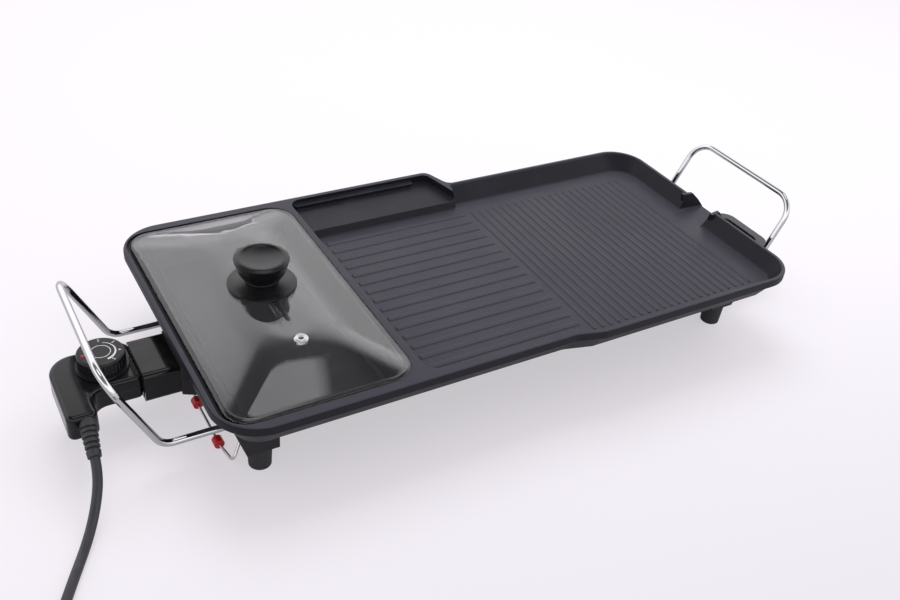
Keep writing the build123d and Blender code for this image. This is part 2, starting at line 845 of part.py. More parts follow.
# Wire bail under the left end
bail_radius = 1.3
bail_x = left_end + 41.0
bail_sole_x = bail_x - 21.0
bail_y = (37.0 - foot_y, 99.0 - foot_y)
bail_z = pan_bottom_z - 2.5
bail_floor_z = 4.6
bail_route = [
    at(bail_x, bail_y[0], bail_z),
    at(bail_x, bail_y[0] - 19, bail_z),
    at(bail_sole_x + 3.5, bail_y[0] - 30, bail_floor_z),
    at(bail_sole_x, bail_y[0] - 7, bail_floor_z),
    at(bail_sole_x, bail_y[1] - 4, bail_floor_z),
    at(bail_sole_x + 3.5, bail_y[1] + 20, bail_floor_z),
    at(bail_x, bail_y[1] + 10, bail_z),
    at(bail_x, bail_y[1] - 4, bail_z),
]
with BuildPart() as wire_bail:
    with BuildLine() as bail_path:
        FilletPolyline(bail_route, radius=[3, 4, 20, 20, 4, 3])
    with BuildSketch(Plane(origin=bail_route[0], z_dir=(0, -1, 0))):
        Circle(bail_radius)
    sweep(path=bail_path.wire())
save(wire_bail, "wire_bail")

sleeve_y = (bail_y[0] - 2.5, bail_y[1] - 8.5)
with BuildPart() as bail_sleeves:
    for y in sleeve_y:
        with BuildSketch(facing_y(y + 4, bail_sole_x, bail_floor_z)):
            Circle(bail_floor_z)
            Circle(bail_radius + fit, mode=Mode.SUBTRACT)
        extrude(amount=8)
save(bail_sleeves, "bail_sleeves")

with BuildPart() as bail_clips:
    for y in (bail_y[0] - 3, bail_y[1]):
        with BuildSketch(facing_y(y + 3.5)):
            with Locations((bail_x, (pan_bottom_z + bail_z - 3) / 2)):
                Rectangle(8, pan_bottom_z - bail_z + 3)
            with Locations((bail_x, bail_z)):
                Circle(bail_radius + fit, mode=Mode.SUBTRACT)
        extrude(amount=7)
save(bail_clips, "bail_clips")

# Thermostat plug: the L-shaped body as two shells
plug_corners = [
    (plug_face_x, -26),
    (plug_face_x, 27),
    (-plug_reach, 27),
    (-plug_reach, -56),
    (plug_neck_x, -56),
    (plug_neck_x, -26),
]
plug_radii = [5, 5, 22, 6, 6, 14]
relief_start = at(plug_neck_x - 9.5, -56, plug_bottom_z + 14)
relief_direction = Vector(-0.08, -0.884, -0.461).normalized()
relief_length = 28.0
relief_collar = 7.0
nose_left_x = left_end - 1.0
nose_half_width = 24.0
nose_top_z = plug_bottom_z + 20.5
sleeve_radius = 4.5


def plug_body():
    """The whole body, hollowed, with its nose and every bore."""
    with BuildPart() as body:
        with BuildSketch(level(plug_bottom_z)):
            with BuildLine():
                FilletPolyline(plug_corners, radius=plug_radii, close=True)
            make_face()
        extrude(amount=plug_top_z - plug_bottom_z)
        fillet(body.edges().group_by(Axis.Z)[0], 3.5)
        fillet(body.edges().group_by(Axis.Z)[-1], 4)
        with BuildSketch(facing_x(plug_face_x, 0, (plug_bottom_z + nose_top_z) / 2)):
            RectangleRounded(2 * nose_half_width, nose_top_z - plug_bottom_z, 3)
        extrude(amount=nose_left_x - plug_face_x)
        # room for the thermostat
        add(
            outline(
                inset_corners(plug_corners, plug_wall),
                inset_radii(plug_corners, plug_radii, plug_wall),
                level(plug_bottom_z + plug_wall),
            )
        )
        extrude(amount=plug_top_z - plug_bottom_z - 2 * plug_wall, mode=Mode.SUBTRACT)
        # bores of the two contact sleeves, the probe and the dial's shaft
        with BuildSketch(facing_x(nose_left_x)):
            with Locations((-pin_y, pin_z), (pin_y, pin_z)):
                Circle(sleeve_radius + fit)
            with Locations((0, pin_z)):
                Circle(probe_radius + fit)
        extrude(amount=plug_face_x - nose_left_x - plug_wall, mode=Mode.SUBTRACT)
        with BuildSketch(level(plug_top_z, dial_x)):
            Circle(shaft_radius + 1.4)
        extrude(amount=-plug_wall, mode=Mode.SUBTRACT)
        # opening for the strain relief
        with BuildSketch(Plane(origin=relief_start - relief_direction * 6, z_dir=relief_direction)):
            Circle(relief_collar + fit)
        extrude(amount=9, mode=Mode.SUBTRACT)
        # recess of the indicator lens
        with BuildSketch(level(plug_top_z, plug_face_x - 4.4, -10)):
            RectangleRounded(3.5, 27, 0.8)
        extrude(amount=-1.5, mode=Mode.SUBTRACT)
    return body.part


plug_solid = plug_body()
with BuildPart() as plug_upper_shell:
    add(plug_solid)
    split(bisect_by=level(plug_split_z), keep=Keep.TOP)
save(plug_upper_shell, "plug_upper_shell")
with BuildPart() as plug_lower_shell:
    add(plug_solid)
    split(bisect_by=level(plug_split_z), keep=Keep.BOTTOM)
save(plug_lower_shell, "plug_lower_shell")

with BuildPart() as indicator_lens:
    with BuildSketch(level(plug_top_z - 1.5, plug_face_x - 4.4, -10)):
        RectangleRounded(3.3, 26.8, 0.7)
    extrude(amount=1.6)
save(indicator_lens, "indicator_lens")

unit_left = dial_x - 12.5
unit_right = plug_face_x - 6.0
unit_top_z = plug_top_z - 6.0
with BuildPart() as thermostat_unit:
    with BuildSketch(level(plug_bottom_z + plug_wall, (unit_left + unit_right) / 2)):
        RectangleRounded(unit_right - unit_left, 36, 2)
    extrude(amount=unit_top_z - plug_bottom_z - plug_wall)
    with BuildSketch(level(unit_top_z, dial_x)):
        Circle(shaft_radius + gap)
    extrude(amount=-6, mode=Mode.SUBTRACT)
save(thermostat_unit, "thermostat_unit")

with BuildPart() as contact_sleeves:
    for side in (-1, 1):
        with BuildSketch(facing_x(nose_left_x - 1, side * pin_y, pin_z)):
            Circle(sleeve_radius)
        extrude(amount=unit_right - nose_left_x + 1)
        with BuildSketch(facing_x(nose_left_x - 1, side * pin_y, pin_z)):
            Circle(pin_radius + gap)
        extrude(amount=-20, mode=Mode.SUBTRACT)
save(contact_sleeves, "contact_sleeves")

with BuildPart() as probe_rod:
    with BuildSketch(facing_x(unit_right, 0, pin_z)):
        Circle(probe_radius)
    extrude(amount=probe_tip_x - unit_right)
    fillet(probe_rod.faces().sort_by(Axis.X)[-1].edges(), 2.0)
save(probe_rod, "probe_rod")

# Dial with fluted side, and its shaft
dial_bottom_z = plug_top_z + gap
with BuildPart() as dial:
    with BuildSketch(level(dial_bottom_z, dial_x)):
        Circle(dial_radius + 2)
    extrude(amount=2.6)
    with BuildSketch(level(dial_bottom_z + 2.6, dial_x)):
        Circle(dial_radius)
        with PolarLocations(dial_radius + 0.7, 36):
            Circle(1.3, mode=Mode.SUBTRACT)
    extrude(amount=dial_top_z - dial_bottom_z - 5.1)
    with BuildSketch(level(dial_top_z - 2.5, dial_x)):
        Circle(dial_radius)
    extrude(amount=2.5)
    fillet(dial.faces().sort_by(Axis.Z)[-1].edges(), 1.8)
    with BuildSketch(level(dial_bottom_z, dial_x)):
        Circle(shaft_radius + fit)
    extrude(amount=11, mode=Mode.SUBTRACT)
save(dial, "dial")

with BuildPart() as dial_shaft:
    with BuildSketch(level(unit_top_z - 5.5, dial_x)):
        Circle(shaft_radius)
    extrude(amount=dial_bottom_z + 10.7 - unit_top_z + 5.5)
save(dial_shaft, "dial_shaft")

# Ribbed strain relief
rib_count = 5
rib_step = 4.6
relief_profile = [(-5, 0), (-5, relief_collar), (2.5, relief_collar)]
for i in range(rib_count):
    start = 2.5 + i * rib_step
    radius = relief_collar - 0.1 - 0.25 * i
    relief_profile += [(start, radius - 1.5), (start + 1.8, radius - 1.5), (start + 1.8, radius),
                       (start + rib_step - 0.6, radius - 0.1)]
relief_profile += [(relief_length, 5.5), (relief_length, 0)]
with BuildPart() as strain_relief:
    with BuildSketch(Plane(origin=relief_start, x_dir=relief_direction,
                           z_dir=relief_direction.cross(Vector(0, 0, 1)).normalized())):
        with BuildLine():
            Polyline(relief_profile, close=True)
        make_face()
    revolve(axis=Axis(relief_start, relief_direction))
save(strain_relief, "strain_relief")

# Cord from the strain relief to the table and on to the coil
cord_z = cord_radius + gap
cord_start = relief_start + relief_direction * relief_length
cord_heading = Vector(-0.508, -0.862, 0).normalized()
coil_entry = at(-plug_reach - 36.5, -178.8, cord_z) + cord_heading * 75
cord_route = [
    cord_start,
    cord_start + relief_direction * 13.5,
    at(-plug_reach + 5.6, -108.5, 19.2),
    at(-plug_reach - 7.0, -128.7, cord_z),
    at(-plug_reach - 29.5, -168.0, cord_z),
    at(-plug_reach - 50.0, -206.0, cord_z),
    coil_entry,
]


def bend_radii(points):
    """The radius at each inner point: as large as its two runs allow."""
    radii = []
    for a, b, c in zip(points, points[1:], points[2:]):
        before, after = b - a, c - b
        turn = radians(before.get_angle(after))
        radii.append(0.45 * min(before.length, after.length) / tan(turn / 2))
    return radii


cord_bends = bend_radii(cord_route)
print("cord bend radii", [round(r, 1) for r in cord_bends])
with BuildPart() as mains_cord:
    with BuildLine() as cord_path:
        FilletPolyline(cord_route, radius=cord_bends)
    with BuildSketch(Plane(origin=cord_start, z_dir=relief_direction)):
        Circle(cord_radius)
    sweep(path=cord_path.wire())
save(mains_cord, "mains_cord")
cord_length = cord_path.wire().length
print("cord volume over section times length", mains_cord.part.volume / (pi * cord_radius**2 * cord_length))

# Coil: spirals in, climbs one layer over half a turn, and spirals out again
last_direction = (cord_route[-1] - cord_route[-2]).normalized()
coil_side = Vector(-last_direction.Y, last_direction.X, 0)
coil_outer = coil_radius + coil_pitch * coil_turns_each_way / 2
coil_lead = 8.0
coil_start = coil_entry + last_direction * coil_lead
coil_centre = coil_start + coil_side * coil_outer
coil_turns = 2 * coil_turns_each_way + 0.5
climb_middle = coil_turns_each_way + 0.25


def coil_point(turns):
    """A point on the coil's centre line after a number of turns."""
    inwards = climb_middle - abs(turns - climb_middle)
    radius = coil_outer - coil_pitch * inwards
    climb = min(max(turns - coil_turns_each_way, 0.0) / 0.5, 1.0)
    angle = 2 * pi * turns
    outwards = coil_side * -cos(angle) + last_direction * sin(angle)
    return coil_centre + outwards * radius + Vector(0, 0, coil_pitch * climb * climb * (3 - 2 * climb))


def coil_tangent(turns):
    """The direction of the coil's centre line there, over a short stretch each way."""
    step = 0.02
    return (coil_point(turns + step) - coil_point(turns - step)).normalized()


def biarc(start, start_tangent, end, end_tangent):
    """The middle point and middle tangent of two arcs that join two points smoothly."""
    chord = end - start
    both = start_tangent + end_tangent
    flat = 2 * (1 - start_tangent.dot(end_tangent))
    reach = (-chord.dot(both) + (chord.dot(both) ** 2 + flat * chord.dot(chord)) ** 0.5) / flat
    middle = (start + start_tangent * reach + end - end_tangent * reach) / 2
    tangent = (end - end_tangent * reach - start - start_tangent * reach).normalized()
    return middle, tangent


spans = round(coil_turns * 4)
nodes = [i * coil_turns / spans for i in range(spans + 1)]
coil_points = [coil_point(t) for t in nodes]
coil_tangents = [last_direction] + [coil_tangent(t) for t in nodes[1:-1]]
last_node = coil_tangent(nodes[-1])
coil_tangents.append(Vector(last_node.X, last_node.Y, 0).normalized())
tail_radius = 45.0
tail_turn = radians(30)
tail_out = Vector(coil_tangents[-1].Y, -coil_tangents[-1].X, 0)
tail_end = coil_points[-1] + coil_tangents[-1] * tail_radius * sin(tail_turn) + tail_out * tail_radius * (
    1 - cos(tail_turn)
)
tail_direction = (coil_tangents[-1] * cos(tail_turn) + tail_out * sin(tail_turn)).normalized()
coil_end = tail_end + tail_direction * coil_lead
with BuildPart() as cord_coil:
    with BuildLine() as coil_path:
        Line(coil_entry, coil_start)
        for i in range(spans):
            start, start_tangent = coil_points[i], coil_tangents[i]
            end, end_tangent = coil_points[i + 1], coil_tangents[i + 1]
            middle, middle_tangent = biarc(start, start_tangent, end, end_tangent)
            TangentArc(start, middle, tangent=start_tangent)
            TangentArc(middle, end, tangent=middle_tangent)
        TangentArc(coil_points[-1], tail_end, tangent=coil_tangents[-1])
        Line(tail_end, coil_end)
    with BuildSketch(Plane(origin=coil_entry, z_dir=last_direction)):
        Circle(cord_radius)
    sweep(path=coil_path.wire())
save(cord_coil, "cord_coil")
coil_length = coil_path.wire().length
samples = [coil_path.wire().position_at(i / 800) for i in range(801)]
apart = int(800 * 8 * cord_radius / coil_length)
least = min(
    (samples[i] - samples[j]).length for i in range(0, 801, 2) for j in range(i + apart, 801, 2)
)
print("coil length", round(coil_length, 1), "least gap", round(least - 2 * cord_radius, 2))
print("coil volume over section times length", cord_coil.part.volume / (pi * cord_radius**2 * coil_length))
print("whole cord", round(coil_length + cord_length, 1))

# Mains plug on the end of the coil
mains_half_height = coil_end.Z - gap
mains_length = 44.0
with BuildPart() as mains_plug:
    sections = []
    for reach, half_width, half_height in (
        (0, 6.5, 6.5), (8, 8, 8), (16, 16, mains_half_height), (mains_length, 18, mains_half_height)
    ):
        origin = coil_end + tail_direction * reach
        side = Vector(-tail_direction.Y, tail_direction.X, 0)
        with BuildSketch(Plane(origin=origin, x_dir=side, z_dir=tail_direction)) as section:
            RectangleRounded(2 * half_width, 2 * half_height, min(half_width, half_height) * 0.45)
        sections.append(section.sketch)
    loft(sections, ruled=True)
save(mains_plug, "mains_plug")

with BuildPart() as plug_pins:
    face = coil_end + tail_direction * mains_length
    side = Vector(-tail_direction.Y, tail_direction.X, 0)
    for way in (-9.5, 9.5):
        with BuildSketch(Plane(origin=face + side * way, z_dir=tail_direction)):
            Circle(2.4)
        extrude(amount=19)
save(plug_pins, "plug_pins")
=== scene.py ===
"""Looks of an electric table grill: griddle, glass-lidded pot, thermostat plug, drip cup and mains lead."""

import json
import logging
import math
from dataclasses import dataclass, field
from enum import Enum
from typing import Any, Callable, Iterable, Sequence

import bmesh
import bpy
from mathutils import Matrix, Vector

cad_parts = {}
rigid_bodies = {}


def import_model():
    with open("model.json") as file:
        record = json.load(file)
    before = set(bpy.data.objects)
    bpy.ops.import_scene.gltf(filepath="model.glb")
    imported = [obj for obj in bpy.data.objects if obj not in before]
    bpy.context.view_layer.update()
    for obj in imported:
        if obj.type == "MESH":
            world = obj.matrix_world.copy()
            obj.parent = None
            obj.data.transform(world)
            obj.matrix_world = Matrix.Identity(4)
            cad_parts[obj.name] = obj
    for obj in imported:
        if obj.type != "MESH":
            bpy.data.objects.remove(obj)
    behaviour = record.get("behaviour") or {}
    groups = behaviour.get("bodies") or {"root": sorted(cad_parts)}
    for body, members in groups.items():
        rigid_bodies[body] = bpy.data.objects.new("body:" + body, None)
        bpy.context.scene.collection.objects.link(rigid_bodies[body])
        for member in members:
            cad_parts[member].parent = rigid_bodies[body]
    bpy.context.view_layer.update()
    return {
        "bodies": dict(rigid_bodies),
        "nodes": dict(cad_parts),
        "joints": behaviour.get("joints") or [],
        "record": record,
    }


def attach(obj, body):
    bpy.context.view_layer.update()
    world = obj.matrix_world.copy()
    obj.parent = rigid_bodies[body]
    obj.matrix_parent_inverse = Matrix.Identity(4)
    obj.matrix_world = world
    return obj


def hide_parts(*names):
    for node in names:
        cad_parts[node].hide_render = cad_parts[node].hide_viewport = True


logging.basicConfig(level=logging.INFO, format="%(name)s: %(message)s")
log = logging.getLogger("grill")

MM = 0.001
TURN_SIDES = 96
CURVE_STEPS = 10
SIDE_STEPS = 8
Point = tuple[float, float, float]
Span = tuple[float, float]
Colour = Point
Material = bpy.types.Material
NodeTree = bpy.types.NodeTree
Socket = bpy.types.NodeSocket
Outline = Sequence[Sequence[float]]
Faces = list[tuple[int, ...]]


class Body(str, Enum):
    """The moving bodies that new pieces ride on."""

    LID = "lid"
    PLUG = "thermostat_plug"
    DIAL = "dial"


class Slot(str, Enum):
    """Names of the record's material slots for the new pieces' finishes."""

    GLASS = "lid_glass"
    KNOB = "knob_black"
    STEEL = "steel"
    SILICONE = "silicone_red"
    CORD = "cord_rubber"
    PRINT = "plastic_gloss"


class Axis(Enum):
    """Directions along which a brushed finish runs."""

    X = (1.0, 0.0, 0.0)
    Y = (0.0, 1.0, 0.0)


def srgb(red: float, green: float, blue: float) -> Colour:
    """Turn display values of 0 to 255 into a linear colour.

    Args:
        red: Display value of the red channel.
        green: Display value of the green channel.
        blue: Display value of the blue channel.

    Returns:
        The linear colour that a shader socket takes.
    """

    def linear(value: float) -> float:
        """Undo the display curve of one channel."""
        share = value / 255.0
        return share / 12.92 if share <= 0.04045 else ((share + 0.055) / 1.055) ** 2.4

    return linear(red), linear(green), linear(blue)


# Shader building


@dataclass
class Graph:
    """A thin layer over a node tree that makes and joins nodes."""

    tree: NodeTree

    def add(self, kind: str, **values: Any) -> bpy.types.Node:
        """Add a node and set its properties.

        Args:
            kind: Blender's name of the node type.
            **values: Properties of the node to set.

        Returns:
            The new node.
        """
        node = self.tree.nodes.new(kind)
        for name, value in values.items():
            setattr(node, name, value)
        return node

    def put(self, socket: Socket, value: Any) -> None:
        """Feed a socket from another socket, or set it to a plain value.

        Args:
            socket: The input to fill.
            value: An output socket, a number or a colour.
        """
        if isinstance(value, Socket):
            self.tree.links.new(value, socket)
        elif isinstance(value, tuple) and len(value) == 3 and socket.type == "RGBA":
            socket.default_value = (*value, 1.0)
        else:
            socket.default_value = value

    def fill(self, node: bpy.types.Node, **values: Any) -> None:
        """Feed or set inputs of a node by their names, with underscores for spaces."""
        for name, value in values.items():
            self.put(node.inputs[name.replace("_", " ")], value)

    def math(self, operation: str, *inputs: Any, clamp: bool = False) -> Socket:
        """Add a Math node.

        Args:
            operation: The operation's name.
            *inputs: Sockets or numbers for its inputs.
            clamp: Whether the result is held between 0 and 1.

        Returns:
            The node's output.
        """
        node = self.add("ShaderNodeMath", operation=operation, use_clamp=clamp)
        for socket, value in zip(node.inputs, inputs):
            self.put(socket, value)
        return node.outputs[0]

    def ramp(self, value: Any, low: float, high: float, out_low: float = 0.0, out_high: float = 1.0) -> Any:
        """Map a range of values smoothly onto another one.

        Args:
            value: The socket to map.
            low: Value that becomes out_low.
            high: Value that becomes out_high.
            out_low: Result at the low end.
            out_high: Result at the high end.

        Returns:
            The mapped output.
        """
        node = self.add("ShaderNodeMapRange", interpolation_type="SMOOTHSTEP")
        self.fill(node, Value=value, From_Min=low, From_Max=high, To_Min=out_low, To_Max=out_high)
        return node.outputs["Result"]

    def mix(self, share: Any, first: Any, second: Any) -> Socket:
        """Mix two colours.

        Args:
            share: How much of the second colour shows.
            first: The colour at share 0.
            second: The colour at share 1.

        Returns:
            The mixed colour.
        """
        node = self.add("ShaderNodeMix", data_type="RGBA")
        self.fill(node, Factor=share, A=first, B=second)
        return node.outputs["Result"]

    def noise(self, where: Any, scale: Any, detail: float = 3.0, roughness: float = 0.55) -> Any:
        """Add a noise texture.

        Args:
            where: Coordinates to read it at.
            scale: Cells per metre.
            detail: Number of finer layers.
            roughness: Strength of the finer layers.

        Returns:
            The noise value, from 0 to 1.
        """
        node = self.add("ShaderNodeTexNoise")
        self.fill(node, Vector=where, Scale=scale, Detail=detail, Roughness=roughness)
        return node.outputs["Fac"]

    def here(self) -> Socket:
        """The point's place on the object, in metres."""
        return self.add("ShaderNodeTexCoord").outputs["Object"]

    def parts(self, vector: Socket) -> Any:
        """The X, Y and Z outputs of a vector."""
        node = self.add("ShaderNodeSeparateXYZ")
        self.put(node.inputs[0], vector)
        return node.outputs


@dataclass
class Effects:
    """The node groups that several finishes share, each built when it is first asked for."""

    built: dict[str, NodeTree] = field(default_factory=dict)

    def group(self, name: str, inputs: dict[str, float], outputs: Iterable[str], make: Callable) -> Any:
        """Build a node group once.

        Args:
            name: Name of the group.
            inputs: Names and starting values of its number inputs.
            outputs: Names of its number outputs.
            make: Function that takes the graph, the inputs and the outputs and wires them.

        Returns:
            The node group.
        """
        if name not in self.built:
            tree = bpy.data.node_groups.new(name, "ShaderNodeTree")
            for label, value in inputs.items():
                socket = tree.interface.new_socket(label, in_out="INPUT", socket_type="NodeSocketFloat")
                socket.default_value = value
            for label in outputs:
                tree.interface.new_socket(label, in_out="OUTPUT", socket_type="NodeSocketFloat")
            graph = Graph(tree)
            make(graph, graph.add("NodeGroupInput").outputs, graph.add("NodeGroupOutput").inputs)
            self.built[name] = tree
        return self.built[name]

    def mottle(self) -> NodeTree:
        """Soft clouds, a fine grain and rare specks, as a sprayed or moulded surface has."""

        def make(g: Graph, given: Any, out: Any) -> None:
            """Wire the clouds, the grain and the specks."""
            where = g.here()
            cloud = g.noise(where, given["Cloud Scale"], 4.0, 0.6)
            g.put(out["Cloud"], g.ramp(cloud, 0.3, 0.7))
            g.put(out["Grain"], g.noise(where, given["Grain Scale"], 2.0, 0.5))
            cells = g.add("ShaderNodeTexVoronoi", feature="F1")
            g.fill(cells, Vector=where, Scale=given["Speck Scale"])
            g.put(out["Speck"], g.ramp(cells.outputs["Distance"], 0.12, 0.02))

        return self.group(
            "mottle",
            {"Cloud Scale": 12.0, "Grain Scale": 900.0, "Speck Scale": 90.0},
            ("Cloud", "Grain", "Speck"),
            make,
        )

    def edges(self) -> NodeTree:
        """A mask along sharp edges, broken up by noise, where handling polishes a surface and where a
        painted highlight lightens the edges.
        """

        def make(g: Graph, given: Any, out: Any) -> None:
            """Wire the mask from the rounded and the true normal."""
            rounded = g.add("ShaderNodeBevel", samples=4)
            g.put(rounded.inputs["Radius"], given["Width"])
            true = g.add("ShaderNodeNewGeometry").outputs["Normal"]
            dot = g.add("ShaderNodeVectorMath", operation="DOT_PRODUCT")
            g.put(dot.inputs[0], rounded.outputs["Normal"])
            g.put(dot.inputs[1], true)
            bend = g.math("SUBTRACT", 1.0, dot.outputs["Value"])
            where = g.here()
            broken = g.ramp(g.noise(where, 160.0, 3.0, 0.6), 0.3, 0.7, 0.35, 1.0)
            g.put(out["Mask"], g.math("MULTIPLY", g.ramp(bend, 0.02, 0.25), broken, clamp=True))

        return self.group("edge wear and painted highlight", {"Width": 0.0006}, ("Mask",), make)

    def dust(self) -> NodeTree:
        """A thin uneven film on whatever faces up."""

        def make(g: Graph, given: Any, out: Any) -> None:
            """Wire the film from the normal's height and noise."""
            normal = g.parts(g.add("ShaderNodeNewGeometry").outputs["Normal"])
            where = g.here()
            patch = g.ramp(g.noise(where, 35.0, 5.0, 0.65), 0.45, 0.8)
            facing = g.ramp(normal["Z"], 0.5, 1.0)
            film = g.math("MULTIPLY", patch, facing)
            g.put(out["Film"], g.math("MULTIPLY", film, given["Amount"], clamp=True))

        return self.group("dust", {"Amount": 0.2}, ("Film",), make)

    def brushing(self, along: Axis) -> NodeTree:
        """Fine streaks along one direction, as drawing or brushing leaves on metal."""

        def make(g: Graph, given: Any, out: Any) -> None:
            """Wire the streaks from stretched noise."""
            where = g.here()
            squeezed = g.add("ShaderNodeVectorMath", operation="MULTIPLY")
            g.put(squeezed.inputs[0], where)
            squeezed.inputs[1].default_value = [0.03 if a else 1.0 for a in along.value]
            g.put(out["Streak"], g.noise(squeezed.outputs["Vector"], given["Scale"], 4.0, 0.65))

        return self.group(f"brushing {along.name}", {"Scale": 1800.0}, ("Streak",), make)


EFFECTS = Effects()
DUST_TONE = srgb(150, 148, 146)
DUST_ROUGHNESS = 0.4


@dataclass(frozen=True)
class Finish:
    """A finish of the grill: two near tones, their gloss and their grain.

    Numbers that vary over the surface come from the shared effects. The rest is set on the shader.
    """

    name: str
    tone: Colour
    second_tone: Colour
    roughness: float
    second_roughness: float
    metallic: float = 0.0
    cloud_scale: float = 14.0
    grain_scale: float = 1200.0
    grain_height: float = 0.00002
    speck_tone: Colour | None = None
    # lighter tone along sharp edges: partly wear, partly a painted highlight
    edge_tone: Colour | None = None
    edge_width: float = 0.0006
    dust: float = 0.0
    coat: float = 0.0
    coat_roughness: float = 0.05
    ior: float = 1.5
    specular: float = 0.5

    def graph(self) -> tuple[Graph, bpy.types.Node, Material]:
        """Start a material with its shader and output joined."""
        material = bpy.data.materials.new(self.name)
        material.use_nodes = True
        material.node_tree.nodes.clear()
        g = Graph(material.node_tree)
        shader = g.add("ShaderNodeBsdfPrincipled")
        g.put(g.add("ShaderNodeOutputMaterial").inputs["Surface"], shader.outputs["BSDF"])
        g.fill(shader, Metallic=self.metallic, IOR=self.ior, Specular_IOR_Level=self.specular)
        g.fill(shader, Coat_Weight=self.coat, Coat_Roughness=self.coat_roughness)
        material.diffuse_color = (*self.tone, 1.0)
        return g, shader, material

    def place(self, g: Graph, tree: NodeTree, **values: float) -> bpy.types.Node:
        """Place a shared effect in the material with its own values."""
        node = g.add("ShaderNodeGroup", node_tree=tree)
        g.fill(node, **values)
        return node

    def bump(self, g: Graph, shader: bpy.types.Node, height: Any) -> None:
        """Feed a height to the shader's normal through rounded edges.

        Args:
            g: The material's graph.
            shader: The shader that takes the normal.
            height: Output with the height, from 0 to 1.
        """
        node = g.add("ShaderNodeBump")
        g.fill(node, Distance=self.grain_height, Strength=1.0, Height=height)
        if self.edge_width:
            rounded = g.add("ShaderNodeBevel", samples=4)
            rounded.inputs["Radius"].default_value = self.edge_width
            g.put(node.inputs["Normal"], rounded.outputs["Normal"])
        g.put(shader.inputs["Normal"], node.outputs["Normal"])

    def mottled(self, g: Graph) -> Any:
        """Place the shared mottle at this finish's scales."""
        scales = {"Cloud_Scale": self.cloud_scale, "Grain_Scale": self.grain_scale}
        return self.place(g, EFFECTS.mottle(), **scales).outputs

    def ground(self, g: Graph, cloud: Any) -> Any:
        """Mix the two tones by the clouds."""
        return g.mix(cloud, self.tone, self.second_tone)

    def material(self) -> Material:
        """Build the material.

        Returns:
            The material, ready to be given to pieces.
        """
        g, shader, material = self.graph()
        mottle = self.mottled(g)
        colour = self.ground(g, mottle["Cloud"])
        if self.speck_tone:
            colour = g.mix(mottle["Speck"], colour, self.speck_tone)
        rough = g.ramp(mottle["Cloud"], 0.0, 1.0, self.roughness, self.second_roughness)
        # lighter edges: partly wear, partly a painted highlight along the edges
        if self.edge_tone:
            worn_and_lit_edge = self.place(g, EFFECTS.edges(), Width=self.edge_width * 1.5).outputs["Mask"]
            colour = g.mix(worn_and_lit_edge, colour, self.edge_tone)
        if self.dust:
            film = self.place(g, EFFECTS.dust(), Amount=self.dust).outputs["Film"]
            colour = g.mix(film, colour, DUST_TONE)
            rough = g.math("ADD", rough, g.math("MULTIPLY", film, DUST_ROUGHNESS), clamp=True)
        g.fill(shader, Base_Color=colour, Roughness=rough)
        self.bump(g, shader, mottle["Grain"])
        return material


@dataclass(frozen=True)
class CookingCoat(Finish):
    """Non-stick coating with painted light: a lighter tone on the upward faces of the griddle's floor and
    the top of the rim.
    """

    # painted light: the lighter tone that the upward faces of the griddle's floor and the rim's top take
    used_tone: Colour = (0.05, 0.05, 0.055)
    floor_top: float = 0.0728
    floor_left: float = -0.11
    rim_low: float = 0.086
    fades: Point = (0.0008, 0.002, 0.001)

    def ground(self, g: Graph, cloud: Any) -> Any:
        """Mix the tones, and paint the lighter tone of painted light over the upward faces of the griddle's
        floor and the top of the rim.
        """
        place = g.parts(g.here())
        normal = g.parts(g.add("ShaderNodeNewGeometry").outputs["True Normal"])
        low = g.ramp(place["Z"], self.floor_top, self.floor_top - self.fades[0])
        right = g.ramp(place["X"], self.floor_left, self.floor_left + self.fades[1])
        # the painted light falls only on faces that point up
        up = g.ramp(normal["Z"], 0.6, 0.8)
        rim = g.ramp(place["Z"], self.rim_low, self.rim_low + self.fades[2])
        zone = g.math("MAXIMUM", g.math("MULTIPLY", low, right), rim)
        painted_light = g.math("MULTIPLY", zone, up, clamp=True)
        return g.mix(painted_light, g.mix(cloud, self.tone, self.second_tone), self.used_tone)


@dataclass(frozen=True)
class DrawnMetal(Finish):
    """Metal with fine streaks along one direction."""

    along: Axis = Axis.X
    streak_scale: float = 1800.0

    def material(self) -> Material:
        """Build the metal with its streaks in both colour and gloss."""
        g, shader, material = self.graph()
        streak = self.place(g, EFFECTS.brushing(self.along), Scale=self.streak_scale).outputs["Streak"]
        mottle = self.mottled(g)
        colour = g.mix(g.ramp(streak, 0.3, 0.7), self.tone, self.second_tone)
        gloss = g.ramp(mottle["Cloud"], 0.0, 1.0, self.roughness, self.second_roughness)
        g.fill(shader, Base_Color=colour, Roughness=gloss)
        self.bump(g, shader, streak)
        return material


@dataclass(frozen=True)
class ClearGlass(Finish):
    """Tempered glass: clear, faintly tinted, with a smear here and there."""

    def material(self) -> Material:
        """Build the glass with a plain transmission and slightly uneven gloss."""
        g, shader, material = self.graph()
        g.fill(shader, Transmission_Weight=1.0)
        mottle = self.mottled(g)
        gloss = g.ramp(mottle["Cloud"], 0.2, 1.0, self.roughness, self.second_roughness)
        g.fill(shader, Base_Color=self.ground(g, mottle["Cloud"]), Roughness=gloss)
        self.bump(g, shader, mottle["Cloud"])
        return material


